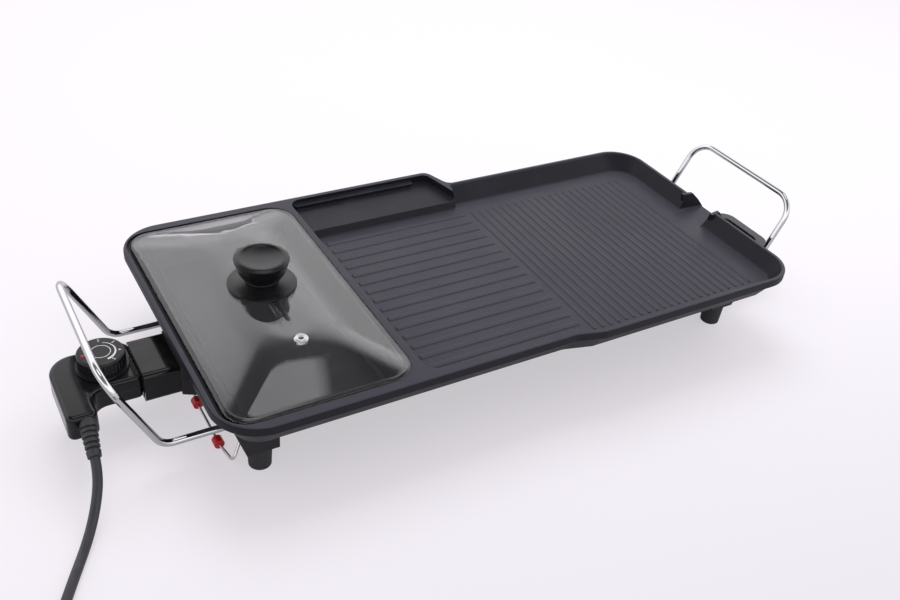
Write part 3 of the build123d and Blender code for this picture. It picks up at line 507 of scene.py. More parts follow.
class Finishes:
    """Every finish of the grill, built once."""

    def __init__(self) -> None:
        """Build the materials."""
        # the lighter edge tones below are partly wear, partly a painted highlight along the edges
        coating = dict(grain_scale=1500.0, grain_height=0.00003)
        # the coating's lighter tone on upward faces is painted light
        self.plate = CookingCoat(
            "non-stick coating", srgb(25, 26, 33), srgb(31, 32, 39), 0.38, 0.48, used_tone=srgb(58, 57, 66),
            speck_tone=srgb(46, 46, 54), edge_tone=srgb(88, 88, 95), edge_width=0.0008, dust=0.03,
            cloud_scale=9.0, specular=0.17, **coating,
        ).material()
        self.pan = Finish(
            "black-painted sheet", srgb(36, 34, 35), srgb(43, 41, 42), 0.5, 0.62, edge_tone=srgb(62, 60, 60),
            specular=0.3, **coating,
        ).material()
        self.glass = ClearGlass(
            "tempered glass", (0.93, 0.935, 0.955), (0.95, 0.955, 0.97), 0.0, 0.012,
            cloud_scale=7.0, grain_height=0.000002, edge_width=0.0, ior=1.52,
        ).material()
        self.knob = Finish(
            "knob plastic", srgb(17, 16, 19), srgb(22, 21, 24), 0.2, 0.27, edge_tone=srgb(48, 47, 50),
            grain_scale=2500.0, grain_height=0.000006, dust=0.05, specular=0.3,
        ).material()
        self.chrome = DrawnMetal(
            "chrome plate", (0.54, 0.54, 0.56), (0.59, 0.59, 0.6), 0.04, 0.1, metallic=1.0,
            grain_height=0.000002, edge_width=0.0, cloud_scale=30.0,
        ).material()
        self.steel = DrawnMetal(
            "drawn steel", (0.55, 0.55, 0.56), (0.68, 0.67, 0.66), 0.22, 0.34, metallic=1.0,
            grain_height=0.00001, edge_width=0.0003, along=Axis.Y,
        ).material()
        self.sheath = Finish(
            "heater sheath", srgb(84, 82, 78), srgb(60, 62, 60), 0.45, 0.6, metallic=0.6,
            edge_width=0.0, grain_height=0.00003,
        ).material()
        self.ceramic = Finish(
            "glazed ceramic", srgb(214, 208, 196), srgb(198, 190, 176), 0.3, 0.45,
            edge_tone=srgb(230, 225, 215),
        ).material()
        self.gloss = Finish(
            "polished plastic", srgb(15, 14, 17), srgb(20, 19, 22), 0.07, 0.12, edge_tone=srgb(58, 57, 61),
            grain_scale=600.0, grain_height=0.000006, dust=0.05, specular=0.3,
        ).material()
        self.satin = Finish(
            "satin plastic", srgb(34, 33, 37), srgb(40, 39, 43), 0.3, 0.4, edge_tone=srgb(72, 71, 76),
            grain_scale=2400.0, dust=0.08, specular=0.35,
        ).material()
        self.rubber = Finish(
            "foot rubber", srgb(34, 33, 35), srgb(40, 39, 41), 0.6, 0.72, edge_tone=srgb(56, 55, 57),
            grain_scale=1600.0, grain_height=0.00005,
        ).material()
        self.cord = Finish(
            "cord jacket", srgb(44, 43, 48), srgb(52, 51, 56), 0.42, 0.55, edge_width=0.0,
            grain_scale=2200.0, grain_height=0.00003, dust=0.1,
        ).material()
        self.silicone = Finish(
            "red silicone", srgb(236, 22, 34), srgb(222, 16, 28), 0.25, 0.35, edge_tone=srgb(240, 80, 76),
            grain_scale=1300.0, coat=0.1,
        ).material()
        self.lens = Finish(
            "smoked lens", srgb(8, 6, 7), srgb(13, 9, 10), 0.05, 0.1, edge_width=0.0003,
            grain_height=0.000004, specular=0.08,
        ).material()
        self.brass = DrawnMetal(
            "brass", (0.72, 0.5, 0.2), (0.78, 0.58, 0.28), 0.22, 0.35, metallic=1.0,
            grain_height=0.00001, edge_width=0.0003,
        ).material()
        printed = dict(edge_width=0.0, grain_scale=4000.0, grain_height=0.00001)
        self.print_white = Finish(
            "white print", srgb(222, 221, 224), srgb(206, 205, 209), 0.45, 0.6, **printed
        ).material()
        self.print_red = Finish(
            "red print", srgb(206, 52, 34), srgb(188, 42, 28), 0.45, 0.6, **printed
        ).material()


# Mesh building


def linked(name: str, data: Any) -> Any:
    """Make an object of a mesh, curve, lamp or camera and link it to the scene."""
    piece = bpy.data.objects.new(name, data)
    bpy.context.scene.collection.objects.link(piece)
    return piece


def mesh_object(name: str, points: Sequence[Vector], faces: Faces, smooth: bool) -> Any:
    """Make a mesh object with outward normals.

    Args:
        name: Name of the piece.
        points: Its corners, in metres.
        faces: Indices of the corners of each face.
        smooth: Whether its faces are shaded smoothly.

    Returns:
        The new object, linked to the scene.
    """
    mesh = bpy.data.meshes.new(name)
    mesh.from_pydata([tuple(p) for p in points], [], [tuple(f) for f in faces])
    made = bmesh.new()
    made.from_mesh(mesh)
    bmesh.ops.recalc_face_normals(made, faces=made.faces)
    made.to_mesh(mesh)
    made.free()
    mesh.polygons.foreach_set("use_smooth", [smooth] * len(mesh.polygons))
    return linked(name, mesh)


def bowed(start: Sequence[float], pull: Sequence[float], end: Sequence[float]) -> list[tuple[float, ...]]:
    """Points of a profile along a curve that a third point pulls sideways.

    Args:
        start: Radius and height where it starts.
        pull: Radius and height of the point that pulls it.
        end: Radius and height where it ends.

    Returns:
        The points, both ends included.
    """
    points = []
    for k in range(CURVE_STEPS + 1):
        t = k / CURVE_STEPS
        u = 1 - t
        points.append(tuple(u * u * a + 2 * t * u * b + t * t * c for a, b, c in zip(start, pull, end)))
    return points


def turned(name: str, centre: Sequence[float], base: float, profile: Outline) -> Any:
    """Turn a profile round an upright axis.

    Args:
        name: Name of the piece.
        centre: X and Y of the axis in millimetres.
        base: Height that the profile is measured from.
        profile: Radius and height of its points. It is closed, or both its ends lie on the axis.

    Returns:
        The piece, shaded smoothly but for its sharp edges.
    """
    points, rows = [], []
    for radius, height in profile:
        count = TURN_SIDES if radius else 1
        rows.append([len(points) + k % count for k in range(TURN_SIDES)])
        for k in range(count):
            angle = 2 * math.pi * k / TURN_SIDES
            way = Vector((math.cos(angle), math.sin(angle), 0.0))
            points.append((Vector((*centre, base + height)) + way * radius) * MM)
    if profile[0][0]:
        rows.append(rows[0])
    faces = []
    for low, high in zip(rows, rows[1:]):
        for k in range(TURN_SIDES):
            ahead = (k + 1) % TURN_SIDES
            faces.append(tuple(dict.fromkeys((low[k], low[ahead], high[ahead], high[k]))))
    piece = mesh_object(name, points, faces, smooth=True)
    piece.data.set_sharp_from_angle(angle=math.radians(38))
    return piece


def as_mesh(piece: Any, name: str) -> Any:
    """Turn a curve or text object into a mesh object of the same place.

    Args:
        piece: The curve or text object, which is removed.
        name: Name of the mesh piece.

    Returns:
        The mesh object.
    """
    bpy.context.view_layer.update()
    mesh = bpy.data.meshes.new_from_object(piece.evaluated_get(bpy.context.evaluated_depsgraph_get()))
    mesh.transform(piece.matrix_world)
    mesh.name = name
    bpy.data.objects.remove(piece)
    return linked(name, mesh)


def rounded_ring(sides: Sequence[float], radius: float, z: float, steps: int = 14) -> list[Vector]:
    """Points round a rectangle with rounded corners, all at one height.

    Args:
        sides: Its left, right, front and back.
        radius: Its corner radius.
        z: Height of the ring.
        steps: Points on each corner.

    Returns:
        The points, counter-clockwise, with a few more along each straight side.
    """
    left, right, front, back = sides
    corners = [
        (right - radius, front + radius, -90.0),
        (right - radius, back - radius, 0.0),
        (left + radius, back - radius, 90.0),
        (left + radius, front + radius, 180.0),
    ]
    points = []
    for i, (x, y, start) in enumerate(corners):
        for k in range(steps + 1):
            angle = math.radians(start + 90.0 * k / steps)
            points.append(Vector((x + radius * math.cos(angle), y + radius * math.sin(angle), z)))
        nx, ny, following = corners[(i + 1) % 4]
        angle = math.radians(following)
        target = Vector((nx + radius * math.cos(angle), ny + radius * math.sin(angle), z))
        last = points[-1].copy()
        points += [last.lerp(target, k / SIDE_STEPS) for k in range(1, SIDE_STEPS)]
    return points


def joined_rings(rings: Sequence[Sequence[Vector]], closed: bool) -> tuple[list[Vector], Faces]:
    """Join rings of equal count with quads.

    Args:
        rings: The rings in order.
        closed: Whether the last ring joins the first, instead of each end getting a cap.

    Returns:
        The points in metres and the faces.
    """
    count = len(rings[0])
    points = [p * MM for ring in rings for p in ring]
    faces = []
    total = len(rings)
    for i in range(total if closed else total - 1):
        for k in range(count):
            a, b = i * count + k, i * count + (k + 1) % count
            c, d = ((i + 1) % total) * count + (k + 1) % count, ((i + 1) % total) * count + k
            faces.append((a, b, c, d))
    if not closed:
        faces.append(tuple(range(count)))
        faces.append(tuple((total - 1) * count + k for k in range(count)))
    return points, faces


# Sub-assemblies


@dataclass
class Assembly:
    """Pieces of the grill that are built or dressed together."""

    frame: dict[str, Any]
    finishes: Finishes

    def dress(self, material: Material, *nodes: str) -> None:
        """Give CAD nodes their finish.

        Args:
            material: The finish.
            *nodes: Names of the nodes that get it.
        """
        for node in nodes:
            piece = self.frame["nodes"][node]
            piece.data.materials.clear()
            piece.data.materials.append(material)
            log.info("dressed %s in %s", node, material.name)

    def settle(self, piece: Any, body: Body, material: Material, slot: Slot) -> Any:
        """Finish a new piece: its material and the body it rides on.

        Args:
            piece: The new object.
            body: The body it moves with.
            material: Its finish.
            slot: The record's slot of that finish; not used.

        Returns:
            The piece.
        """
        piece.data.materials.clear()
        piece.data.materials.append(material)
        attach(piece, body.value)
        log.info("built %s on %s", piece.name, body.value)
        return piece


@dataclass
class MainsLead(Assembly):
    """The cord from the strain relief to its coil, with the mains plug at the end."""

    middle_x: float = 11.875
    radius: float = 4.0
    lift: float = 4.3
    relief_start: Point = (-386.5, -56.0, 52.0)
    relief_direction: Point = (-0.08, -0.884, -0.461)
    relief_length: float = 28.0
    heading: Point = (-0.508, -0.862, 0.0)
    coil_radius: float = 44.0
    coil_pitch: float = 8.6
    turns_each_way: float = 1.375
    coil_lead: float = 8.0
    tail_radius: float = 45.0
    tail_turn: float = math.radians(30)
    points_per_turn: int = 20
    length: float = 1.105

    def at(self, x: float, y: float, z: float) -> Vector:
        """A point in millimetres whose X is measured from the middle of the plate."""
        return Vector((self.middle_x + x, y, z))

    def loose_run(self) -> list[Vector]:
        """Control points from the strain relief to the start of the coil."""
        out = Vector(self.relief_direction).normalized()
        start = self.at(*self.relief_start) + out * self.relief_length
        heading = Vector(self.heading).normalized()
        return [
            start,
            start + out * 13.5,
            self.at(-396.4, -108.5, 19.2),
            self.at(-409.0, -128.7, self.lift),
            self.at(-431.5, -168.0, self.lift),
            self.at(-452.0, -206.0, self.lift),
            self.at(-438.5, -178.8, self.lift) + heading * 75.0,
        ]

    def coil(self, entry: Vector, before: Vector) -> list[Vector]:
        """Control points of the coil and of the tail that ends at the plug.

        Args:
            entry: Where the loose run ends.
            before: The point before it, which gives the direction.

        Returns:
            The points after the entry.
        """
        ahead = (entry - before).normalized()
        side = Vector((-ahead.y, ahead.x, 0.0))
        outer = self.coil_radius + self.coil_pitch * self.turns_each_way / 2
        start = entry + ahead * self.coil_lead
        centre = start + side * outer
        turns = 2 * self.turns_each_way + 0.5
        middle = self.turns_each_way + 0.25

        def place(done: float) -> Vector:
            """A point on the coil after a number of turns."""
            inwards = middle - abs(done - middle)
            climb = min(max(done - self.turns_each_way, 0.0) / 0.5, 1.0)
            angle = 2 * math.pi * done
            outwards = side * -math.cos(angle) + ahead * math.sin(angle)
            rise = self.coil_pitch * climb * climb * (3 - 2 * climb)
            return centre + outwards * (outer - self.coil_pitch * inwards) + Vector((0, 0, rise))

        count = round(turns * self.points_per_turn)
        points = [place(i * turns / count) for i in range(count + 1)]
        along = place(turns) - place(turns - 0.02)
        along = Vector((along.x, along.y, 0.0)).normalized()
        away = Vector((along.y, -along.x, 0.0))
        last = points[-1].copy()
        for k in range(1, 4):
            angle = self.tail_turn * k / 3
            bend = along * math.sin(angle) + away * (1 - math.cos(angle))
            points.append(last + bend * self.tail_radius)
        leaving = along * math.cos(self.tail_turn) + away * math.sin(self.tail_turn)
        points.append(points[-1] + leaving * self.coil_lead)
        return points

    def build(self) -> None:
        """Build the cord as one smooth curve and dress its plug."""
        run = self.loose_run()
        points = run + self.coil(run[-1], run[-2])
        curve = bpy.data.curves.new("mains_lead", "CURVE")
        curve.dimensions = "3D"
        curve.bevel_depth = self.radius * MM
        curve.bevel_resolution = 5
        curve.resolution_u = 6
        spline = curve.splines.new("NURBS")
        spline.points.add(len(points) - 1)
        for control, point in zip(spline.points, points):
            control.co = (*(point * MM), 1.0)
        spline.order_u = 3
        spline.use_endpoint_u = True
        lead = linked("mains_lead", curve)
        self.settle(lead, Body.PLUG, self.finishes.cord, Slot.CORD)
        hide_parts("mains_cord", "cord_coil")
        self.dress(self.finishes.satin, "mains_plug")
        self.dress(self.finishes.brass, "plug_pins")


@dataclass
class CookingSurface(Assembly):
    """The coated plate with its pot, griddle and drain spout."""

    def build(self) -> None:
        """Dress the plate."""
        self.dress(self.finishes.plate, "cooking_plate")


@dataclass
class Underside(Assembly):
    """Everything below the plate: pan, feet, clamps, rails, heater and the socket."""

    def build(self) -> None:
        """Dress each node below the plate."""
        f = self.finishes
        self.dress(f.pan, "base_pan", "foot_brackets", "handle_clamps", "cup_rails", "bail_clips")
        self.dress(f.steel, "base_pan_screws", "foot_screws", "clip_screws", "element_clips", "contact_pins")
        self.dress(f.rubber, "feet")
        self.dress(f.sheath, "heating_element")
        self.dress(f.ceramic, "element_bushes")
        self.dress(f.satin, "socket_block")
        self.dress(f.gloss, "socket_shroud")


@dataclass
class CarryingHandles(Assembly):
    """The two chromed rods."""

    def build(self) -> None:
        """Dress both handles."""
        self.dress(self.finishes.chrome, "left_handle", "right_handle")


@dataclass
class PotLid(Assembly):
    """The domed glass lid with its knob and steam vent.

    Outlines hold radius and height. Height 0 of the disc and the eyelet's crown is the glass's top, that of
    the knob is the disc's top, and that of the washer, screw and eyelet's foot is the glass's underside.
    """

    left: float = -285.5
    right: float = -119.4
    front: float = -145.0
    back: float = 149.9
    corner: float = 22.0
    top_corner: float = 29.0
    edge_z: float = 85.3
    thickness: float = 4.0
    dome_height: float = 18.7
    dome_start: float = 2.5
    dome_inset: float = 62.0
    dome_even: float = 0.5
    ridge: float = 3.0
    rings: int = 30
    crowding: float = 1.15
    edge: Outline = ((2.6, 0.0), (0.9, 0.35), (0.1, 1.4), (0.0, 2.0), (0.2, 3.0), (1.1, 3.95))
    vent_y: float = -85.0
    screw_hole: float = 3.5
    vent_hole: float = 4.5
    bore: float = 2.3
    disc_rise: float = 5.6
    disc_edge: Outline = ((30.5, 0.0), (31.0, 0.3), (31.0, 0.8), (30.7, 1.1))
    disc_cone: Outline = ((30.2, 1.2), (22.0, 2.0), (15.2, 5.6))
    knob_foot: Outline = ((0.0, 0.0), (15.7, 0.0), (15.9, 0.4), (15.7, 0.9))
    knob_bowl: Outline = ((15.0, 1.3), (21.4, 4.2), (24.2, 19.6))
    knob_rim: Outline = ((24.5, 20.3), (24.3, 21.0), (22.7, 21.9), (21.0, 22.4), (20.0, 22.3))
    knob_dish: Outline = ((19.2, 21.5), (11.0, 19.6), (0.0, 19.6))
    washer_edge: Outline = ((9.7, -1.5), (10.0, -1.2), (10.0, -0.3), (9.7, 0.0))
    screw_head: Outline = ((0.0, -3.9), (3.0, -3.8), (4.3, -2.9), (4.5, -1.9), (4.5, -1.5), (2.0, -1.5))
    screw_end: Outline = ((2.0, 20.0), (0.0, 20.5))
    eyelet_foot: Outline = ((2.2, -0.8), (5.8, -0.8), (5.8, 0.0), (4.4, 0.0))
    eyelet_crown: Outline = (
        (4.4, 0.0), (6.2, 0.0), (6.2, 0.4), (5.7, 1.0), (4.6, 1.35), (3.2, 1.3), (2.5, 1.0), (2.2, 0.5)
    )

    def height(self, inset: float) -> float:
        """Height of the outer surface above the lid's flat edge, at a distance in from the edge."""
        share = min(max(inset - self.dome_start, 0.0) / self.dome_inset, 1.0)
        bend = max(share - self.dome_even, 0.0)
        rise = share - bend * bend / (2 * (1 - self.dome_even))
        return self.dome_height * rise * 2 / (1 + self.dome_even)

    def ring(self, inset: float, z: float, wall: float = 0.0) -> list[Vector]:
        """A ring of the lid's outline, whose corners widen towards the middle.

        Args:
            inset: How far the outer surface's ring lies in from the edge.
            z: Height of the ring.
            wall: How much further in the ring lies on the inner surface.

        Returns:
            The ring's points.
        """
        share = min(inset / self.dome_inset, 1.0)
        half = (self.right - self.left) / 2 - inset - wall
        radius = min(self.corner + (self.top_corner - self.corner) * share - wall, half - 0.3)
        moved = inset + wall
        sides = (self.left + moved, self.right - moved, self.front + moved, self.back - moved)
        return rounded_ring(sides, radius, z)

    def glass(self) -> Any:
        """Build the glass: an outer and an inner dome, a rounded edge and two holes."""
        half = (self.right - self.left) / 2 - self.ridge
        insets = [half * (k / self.rings) ** self.crowding for k in range(self.rings + 1)]
        top = self.edge_z + self.thickness
        outer = [self.ring(i, top + self.height(i)) for i in insets[1:]]
        rim = [self.ring(inset, self.edge_z + rise) for inset, rise in self.edge]
        inner = [self.ring(i, self.edge_z + self.height(i), self.thickness) for i in insets[1:-3]]
        rings = list(reversed(inner)) + rim + outer[1:]
        points, faces = joined_rings(rings, closed=False)
        lid = mesh_object("pot_lid_glass", points, faces, smooth=True)
        self.drill(lid, self.middle(), self.screw_hole)
        self.drill(lid, self.vent(), self.vent_hole)
        return lid

    def middle(self) -> Span:
        """The place of the knob."""
        return (self.left + self.right) / 2, (self.front + self.back) / 2

    def vent(self) -> Span:
        """The place of the steam vent, on the middle line of the lid."""
        return self.middle()[0], self.vent_y

    def fittings(self) -> None:
        """Build the knob with its disc, washer and screw, and the vent's eyelet, on the dome's flat top."""
        f = self.finishes
        top = self.edge_z + self.thickness + self.dome_height
        under = top - self.thickness
        cone = bowed(*self.disc_cone)
        disc = [(self.bore, 0.0), *self.disc_edge, *cone, (self.bore, self.disc_rise)]
        knob = [*self.knob_foot, *bowed(*self.knob_bowl), *self.knob_rim, *bowed(*self.knob_dish)]
        low, high = self.washer_edge[0][1], self.washer_edge[-1][1]
        washer = [(self.bore, low), *self.washer_edge, (self.bore, high)]
        screw = [*self.screw_head, *self.screw_end]
        eyelet = [(radius, height - self.thickness) for radius, height in self.eyelet_foot]
        eyelet += self.eyelet_crown
        for name, node, place, base, profile, finish, slot in (
            ("knob_disc", "knob_flange", self.middle(), top, disc, f.knob, Slot.KNOB),
            ("lid_knob_turned", "lid_knob", self.middle(), top + self.disc_rise, knob, f.knob, Slot.KNOB),
            ("knob_seal_washer", "knob_washer", self.middle(), under, washer, f.silicone, Slot.SILICONE),
            ("knob_fixing_screw", "knob_screw", self.middle(), under, screw, f.steel, Slot.STEEL),
            ("steam_vent_eyelet", "vent_eyelet", self.vent(), top, eyelet, f.steel, Slot.STEEL),
        ):
            piece = self.settle(turned(name, place, base, profile), Body.LID, finish, slot)
            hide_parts(node)

    def drill(self, lid: Any, place: Span, radius: float) -> None:
        """Cut a round hole down through the glass.

        Args:
            lid: The glass.
            place: X and Y of the hole in millimetres.
            radius: Its radius in millimetres.
        """
        made = bmesh.new()
        spot = Matrix.Translation((place[0] * MM, place[1] * MM, 0.1))
        wide = radius * MM
        bmesh.ops.create_cone(
            made, cap_ends=True, segments=48, radius1=wide, radius2=wide, depth=0.06, matrix=spot
        )
        mesh = bpy.data.meshes.new("drill")
        made.to_mesh(mesh)
        made.free()
        tool = linked("drill", mesh)
        cut = lid.modifiers.new("hole", "BOOLEAN")
        cut.operation = "DIFFERENCE"
        cut.solver = "EXACT"
        cut.object = tool
        bpy.context.view_layer.update()
        drilled = bpy.data.meshes.new_from_object(lid.evaluated_get(bpy.context.evaluated_depsgraph_get()))
        lid.modifiers.clear()
        lid.data = drilled
        bpy.data.objects.remove(tool)

    def build(self) -> None:
        """Build the glass and its fittings."""
        glass = self.settle(self.glass(), Body.LID, self.finishes.glass, Slot.GLASS)
        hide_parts("glass_lid")
        self.fittings()


@dataclass
class CatchTray(Assembly):
    """The drip cup below the spout."""

    def build(self) -> None:
        """Dress the cup."""
        self.dress(self.finishes.satin, "drip_cup")


@dataclass
class Bail(Assembly):
    """The wire bail with its red sleeves."""

    def build(self) -> None:
        """Dress the wire and the sleeves."""
        self.dress(self.finishes.steel, "wire_bail")
        self.dress(self.finishes.silicone, "bail_sleeves")


@dataclass
class ThermostatPlug(Assembly):
    """The plug's two shells with what they hold."""

    def build(self) -> None:
        """Dress each part of the plug."""
        f = self.finishes
        self.dress(f.gloss, "plug_upper_shell", "plug_lower_shell")
        self.dress(f.lens, "indicator_lens")
        self.dress(f.steel, "thermostat_unit", "probe_rod")
        self.dress(f.brass, "contact_sleeves")
        self.dress(f.cord, "strain_relief")


@dataclass
class HeatDial(Assembly):
    """The dial with its printed scale."""

    centre: Span = (-347.625, 0.0)
    top: float = 78.0
    print_height: float = 0.04
    ring_radius: float = 8.2
    ring_width: float = 0.6
    arc_radius: float = 12.2
    arc_width: Span = (0.4, 2.0)
    arc_span: Span = (70.0, -75.0)
    number_radius: float = 15.4
    number_size: float = 4.3
    numbers: int = 5
    first_number: float = 130.0
    number_step: float = -47.5
    pointer_span: Span = (176.0, 184.0)
    pointer_radius: float = 14.6
    pointer_width: float = 3.0
    ink_depth: float = 0.02

    def band(self, name: str, start: float, end: float, radius: float, widths: Span) -> Any:
        """Build a flat printed band along an arc, whose width changes from one end to the other.

        Args:
            name: Name of the piece.
            start: Angle of its first end, in degrees.
            end: Angle of its last end, in degrees.
            radius: Radius of its middle line.
            widths: Its width at the first and at the last end.

        Returns:
            The piece.
        """
        steps = max(8, int(abs(end - start) / 4))
        closed = abs(end - start) >= 360
        rings = []
        for k in range(steps if closed else steps + 1):
            share = k / steps
            angle = math.radians(start + (end - start) * share)
            half = (widths[0] + (widths[1] - widths[0]) * share) / 2
            way = Vector((math.cos(angle), math.sin(angle), 0.0))
            middle = Vector((*self.centre, self.top))
            low, high = Vector((0, 0, -self.ink_depth)), Vector((0, 0, self.print_height))
            near, far = middle + way * (radius - half), middle + way * (radius + half)
            rings.append([near + low, far + low, far + high, near + high])
        points, faces = joined_rings(rings, closed=closed)
        return mesh_object(name, points, faces, smooth=False)

    def number(self, digit: int, angle: float) -> Any:
        """Build a printed number that reads from the dial's middle outwards.

        Args:
            digit: The number.
            angle: Its place round the dial, in degrees.

        Returns:
            The piece.
        """
        curve = bpy.data.curves.new(f"number_{digit}", "FONT")
        curve.body = str(digit)
        curve.size = self.number_size * MM
        curve.extrude = self.print_height / 2 * MM
        curve.align_x = "CENTER"
        curve.align_y = "CENTER"
        text = linked(f"number_{digit}", curve)
        turn = math.radians(angle)
        way = Vector((math.cos(turn), math.sin(turn), 0.0))
        spot = Vector((*self.centre, self.top + self.print_height / 2)) + way * self.number_radius
        text.matrix_world = Matrix.Translation(spot * MM) @ Matrix.Rotation(turn - math.pi / 2, 4, "Z")
        return as_mesh(text, f"dial_number_{digit}")

    def build(self) -> None:
        """Dress the dial and lay its scale on top."""
        f = self.finishes
        self.dress(f.knob, "dial")
        self.dress(f.steel, "dial_shaft")
        ring, pointer = (self.ring_width,) * 2, (self.pointer_width,) * 2
        pieces = [
            (self.band("dial_ring", 0, 360, self.ring_radius, ring), f.print_white),
            (self.band("dial_arc", *self.arc_span, self.arc_radius, self.arc_width), f.print_white),
            (self.band("dial_pointer", *self.pointer_span, self.pointer_radius, pointer), f.print_red),
        ]
        for k in range(self.numbers):
            angle = self.first_number + self.number_step * k
            pieces.append((self.number(k + 1, angle), f.print_white))
        for piece, material in pieces:
            self.settle(piece, Body.DIAL, material, Slot.PRINT)


# Studio


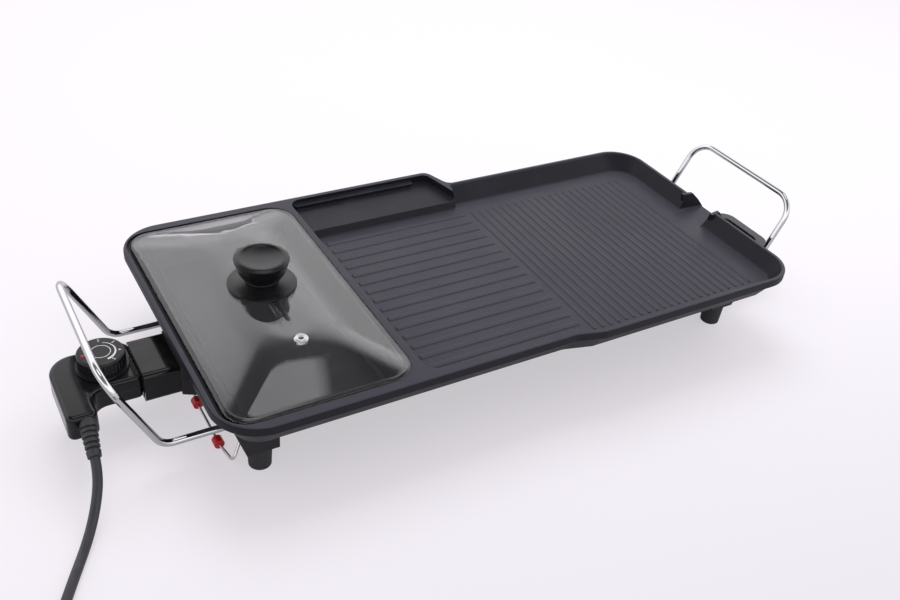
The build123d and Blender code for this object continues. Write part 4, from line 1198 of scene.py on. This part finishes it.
@dataclass
class Studio:
    """The camera, the pale floor, the lamps and the light room around them."""

    camera_place: Point = (-0.46254, -0.688038, 0.625469)
    camera_right: Point = (0.8617543, -0.4991065, 0.0909517)
    camera_up: Point = (0.2286801, 0.5421785, 0.8085468)
    lens: float = 39.725
    floor_colour: Colour = (0.9, 0.866, 0.93)
    floor_mottle: float = 0.975
    far_glow: Colour = (0.99, 0.955, 1.0)
    glow_span: Span = (-0.75, 0.1)
    floor_size: float = 24.0
    floor_glow: float = 0.55
    mirrored_glow: float = 0.6
    front_shade: float = 0.8
    room_light: float = 0.6
    key_power: float = 22.0
    horizon_shine: float = 0.95
    backdrop_shine: float = 1.8
    ceiling_shine: float = 0.25
    softbox_shine: float = 1.9
    horizon_span: Span = (0.15, 0.42)
    ceiling_span: Span = (0.58, 0.8)
    softbox_edge: Span = (0.967, 0.973)
    room_colour: Colour = (1.0, 0.985, 1.0)
    key_place: Point = (0.2, 0.8, 1.9)
    key_size: float = 1.3
    fill_place: Point = (1.5, -0.4, 1.7)
    fill_size: float = 1.6
    fill_share: float = 0.5
    softbox_way: Point = (0.085, 0.08, 0.9932)

    def camera(self) -> None:
        """Place the camera at the viewing angle."""
        data = bpy.data.cameras.new("camera")
        data.lens = self.lens
        data.sensor_width = 36.0
        data.clip_start, data.clip_end = 0.02, 60.0
        camera = linked("camera", data)
        right, up = Vector(self.camera_right).normalized(), Vector(self.camera_up).normalized()
        back = right.cross(up).normalized()
        turn = Matrix((right, up, back)).transposed()
        camera.matrix_world = Matrix.Translation(self.camera_place) @ turn.to_4x4()
        bpy.context.scene.camera = camera
        log.info("camera at %s", self.camera_place)

    def seen(self, g: Graph) -> tuple[Socket, Socket]:
        """Masks of the rays that show the studio itself, and of the glossy ones among them."""
        path = g.add("ShaderNodeLightPath").outputs
        glossy = path["Is Glossy Ray"]
        shown = g.math("MAXIMUM", path["Is Camera Ray"], path["Is Transmission Ray"])
        return g.math("MAXIMUM", shown, glossy), glossy

    def floor(self) -> None:
        """Lay the pale floor, which isn't part of the object."""
        half = self.floor_size / 2
        corners = [Vector((x * half, y * half, 0.0)) for x, y in ((-1, -1), (1, -1), (1, 1), (-1, 1))]
        floor = mesh_object("floor", corners, [(0, 1, 2, 3)], smooth=False)
        material = bpy.data.materials.new("pale floor")
        material.use_nodes = True
        g = Graph(material.node_tree)
        shader = material.node_tree.nodes["Principled BSDF"]
        where = g.here()
        cloud = g.ramp(g.noise(where, 0.8, 2.0, 0.5), 0.3, 0.7)
        darker = tuple(c * self.floor_mottle for c in self.floor_colour)
        ground = g.mix(cloud, self.floor_colour, darker)
        g.fill(shader, Base_Color=ground, Roughness=0.55, Specular_IOR_Level=0.2)
        seen, glossy = self.seen(g)
        glow = g.add("ShaderNodeEmission")
        shade = tuple(c * self.front_shade for c in self.floor_colour)
        glow_colour = g.mix(g.ramp(g.parts(where)["Y"], *self.glow_span), shade, self.far_glow)
        strength = g.ramp(glossy, 0.0, 1.0, 1.0, self.mirrored_glow)
        g.fill(glow, Color=glow_colour, Strength=strength)
        both = g.add("ShaderNodeMixShader")
        g.put(both.inputs[0], g.math("MULTIPLY", seen, self.floor_glow))
        g.put(both.inputs[1], shader.outputs["BSDF"])
        g.put(both.inputs[2], glow.outputs["Emission"])
        g.put(material.node_tree.nodes["Material Output"].inputs["Surface"], both.outputs["Shader"])
        floor.data.materials.append(material)

    def room(self) -> None:
        """Light the scene from a pale room, which glossy and clear pieces also show."""
        world = bpy.data.worlds.new("pale room")
        world.use_nodes = True
        bpy.context.scene.world = world
        world.node_tree.nodes.clear()
        g = Graph(world.node_tree)
        seen, glossy = self.seen(g)
        where = g.add("ShaderNodeTexCoord").outputs["Generated"]
        height = g.parts(where)["Z"]
        low = g.ramp(height, *self.horizon_span, self.horizon_shine, self.backdrop_shine)
        fading = self.ceiling_shine / self.backdrop_shine
        overhead = g.ramp(height, *self.ceiling_span, 1.0, fading)
        walls = g.math("MULTIPLY", low, overhead)
        toward = g.add("ShaderNodeVectorMath", operation="DOT_PRODUCT")
        g.put(toward.inputs[0], where)
        toward.inputs[1].default_value = self.softbox_way
        softbox = g.ramp(toward.outputs["Value"], *self.softbox_edge, 0.0, self.softbox_shine)
        mirrored = g.math("MAXIMUM", walls, softbox)
        shown = g.math("ADD", g.math("MULTIPLY", mirrored, glossy), g.math("SUBTRACT", 1.0, glossy))
        light = g.add("ShaderNodeBackground")
        g.fill(light, Color=self.room_colour, Strength=self.room_light)
        view = g.add("ShaderNodeBackground")
        g.fill(view, Color=self.room_colour, Strength=shown)
        both = g.add("ShaderNodeMixShader")
        g.put(both.inputs[0], seen)
        g.put(both.inputs[1], light.outputs[0])
        g.put(both.inputs[2], view.outputs[0])
        g.put(g.add("ShaderNodeOutputWorld").inputs["Surface"], both.outputs[0])

    def lamp(self, name: str, place: Point, size: float, power: float) -> None:
        """Hang a square lamp that points at the grill.

        Args:
            name: Name of the lamp.
            place: Where it hangs, in metres.
            size: Length of its sides, in metres.
            power: Its power in watts.
        """
        data = bpy.data.lights.new(name, "AREA")
        data.size = size
        data.energy = power
        lamp = linked(name, data)
        lamp.visible_glossy = False
        lamp.visible_transmission = False
        lamp.location = place
        lamp.rotation_mode = "QUATERNION"
        lamp.rotation_quaternion = (Vector((0, 0, 0.05)) - Vector(place)).to_track_quat("-Z", "Y")

    def build(self) -> None:
        """Set up floor, room and lamps."""
        self.floor()
        self.room()
        self.lamp("key", self.key_place, self.key_size, self.key_power)
        self.lamp("fill", self.fill_place, self.fill_size, self.key_power * self.fill_share)
        bpy.context.scene.view_settings.view_transform = "Standard"


def main() -> None:
    """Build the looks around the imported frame, camera and cord first."""
    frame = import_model()
    studio = Studio()
    studio.camera()
    finishes = Finishes()
    for kind in (
        MainsLead,
        CookingSurface,
        Underside,
        CarryingHandles,
        PotLid,
        CatchTray,
        Bail,
        ThermostatPlug,
        HeatDial,
    ):
        kind(frame, finishes).build()
    studio.build()


if __name__ == "__main__":
    main()
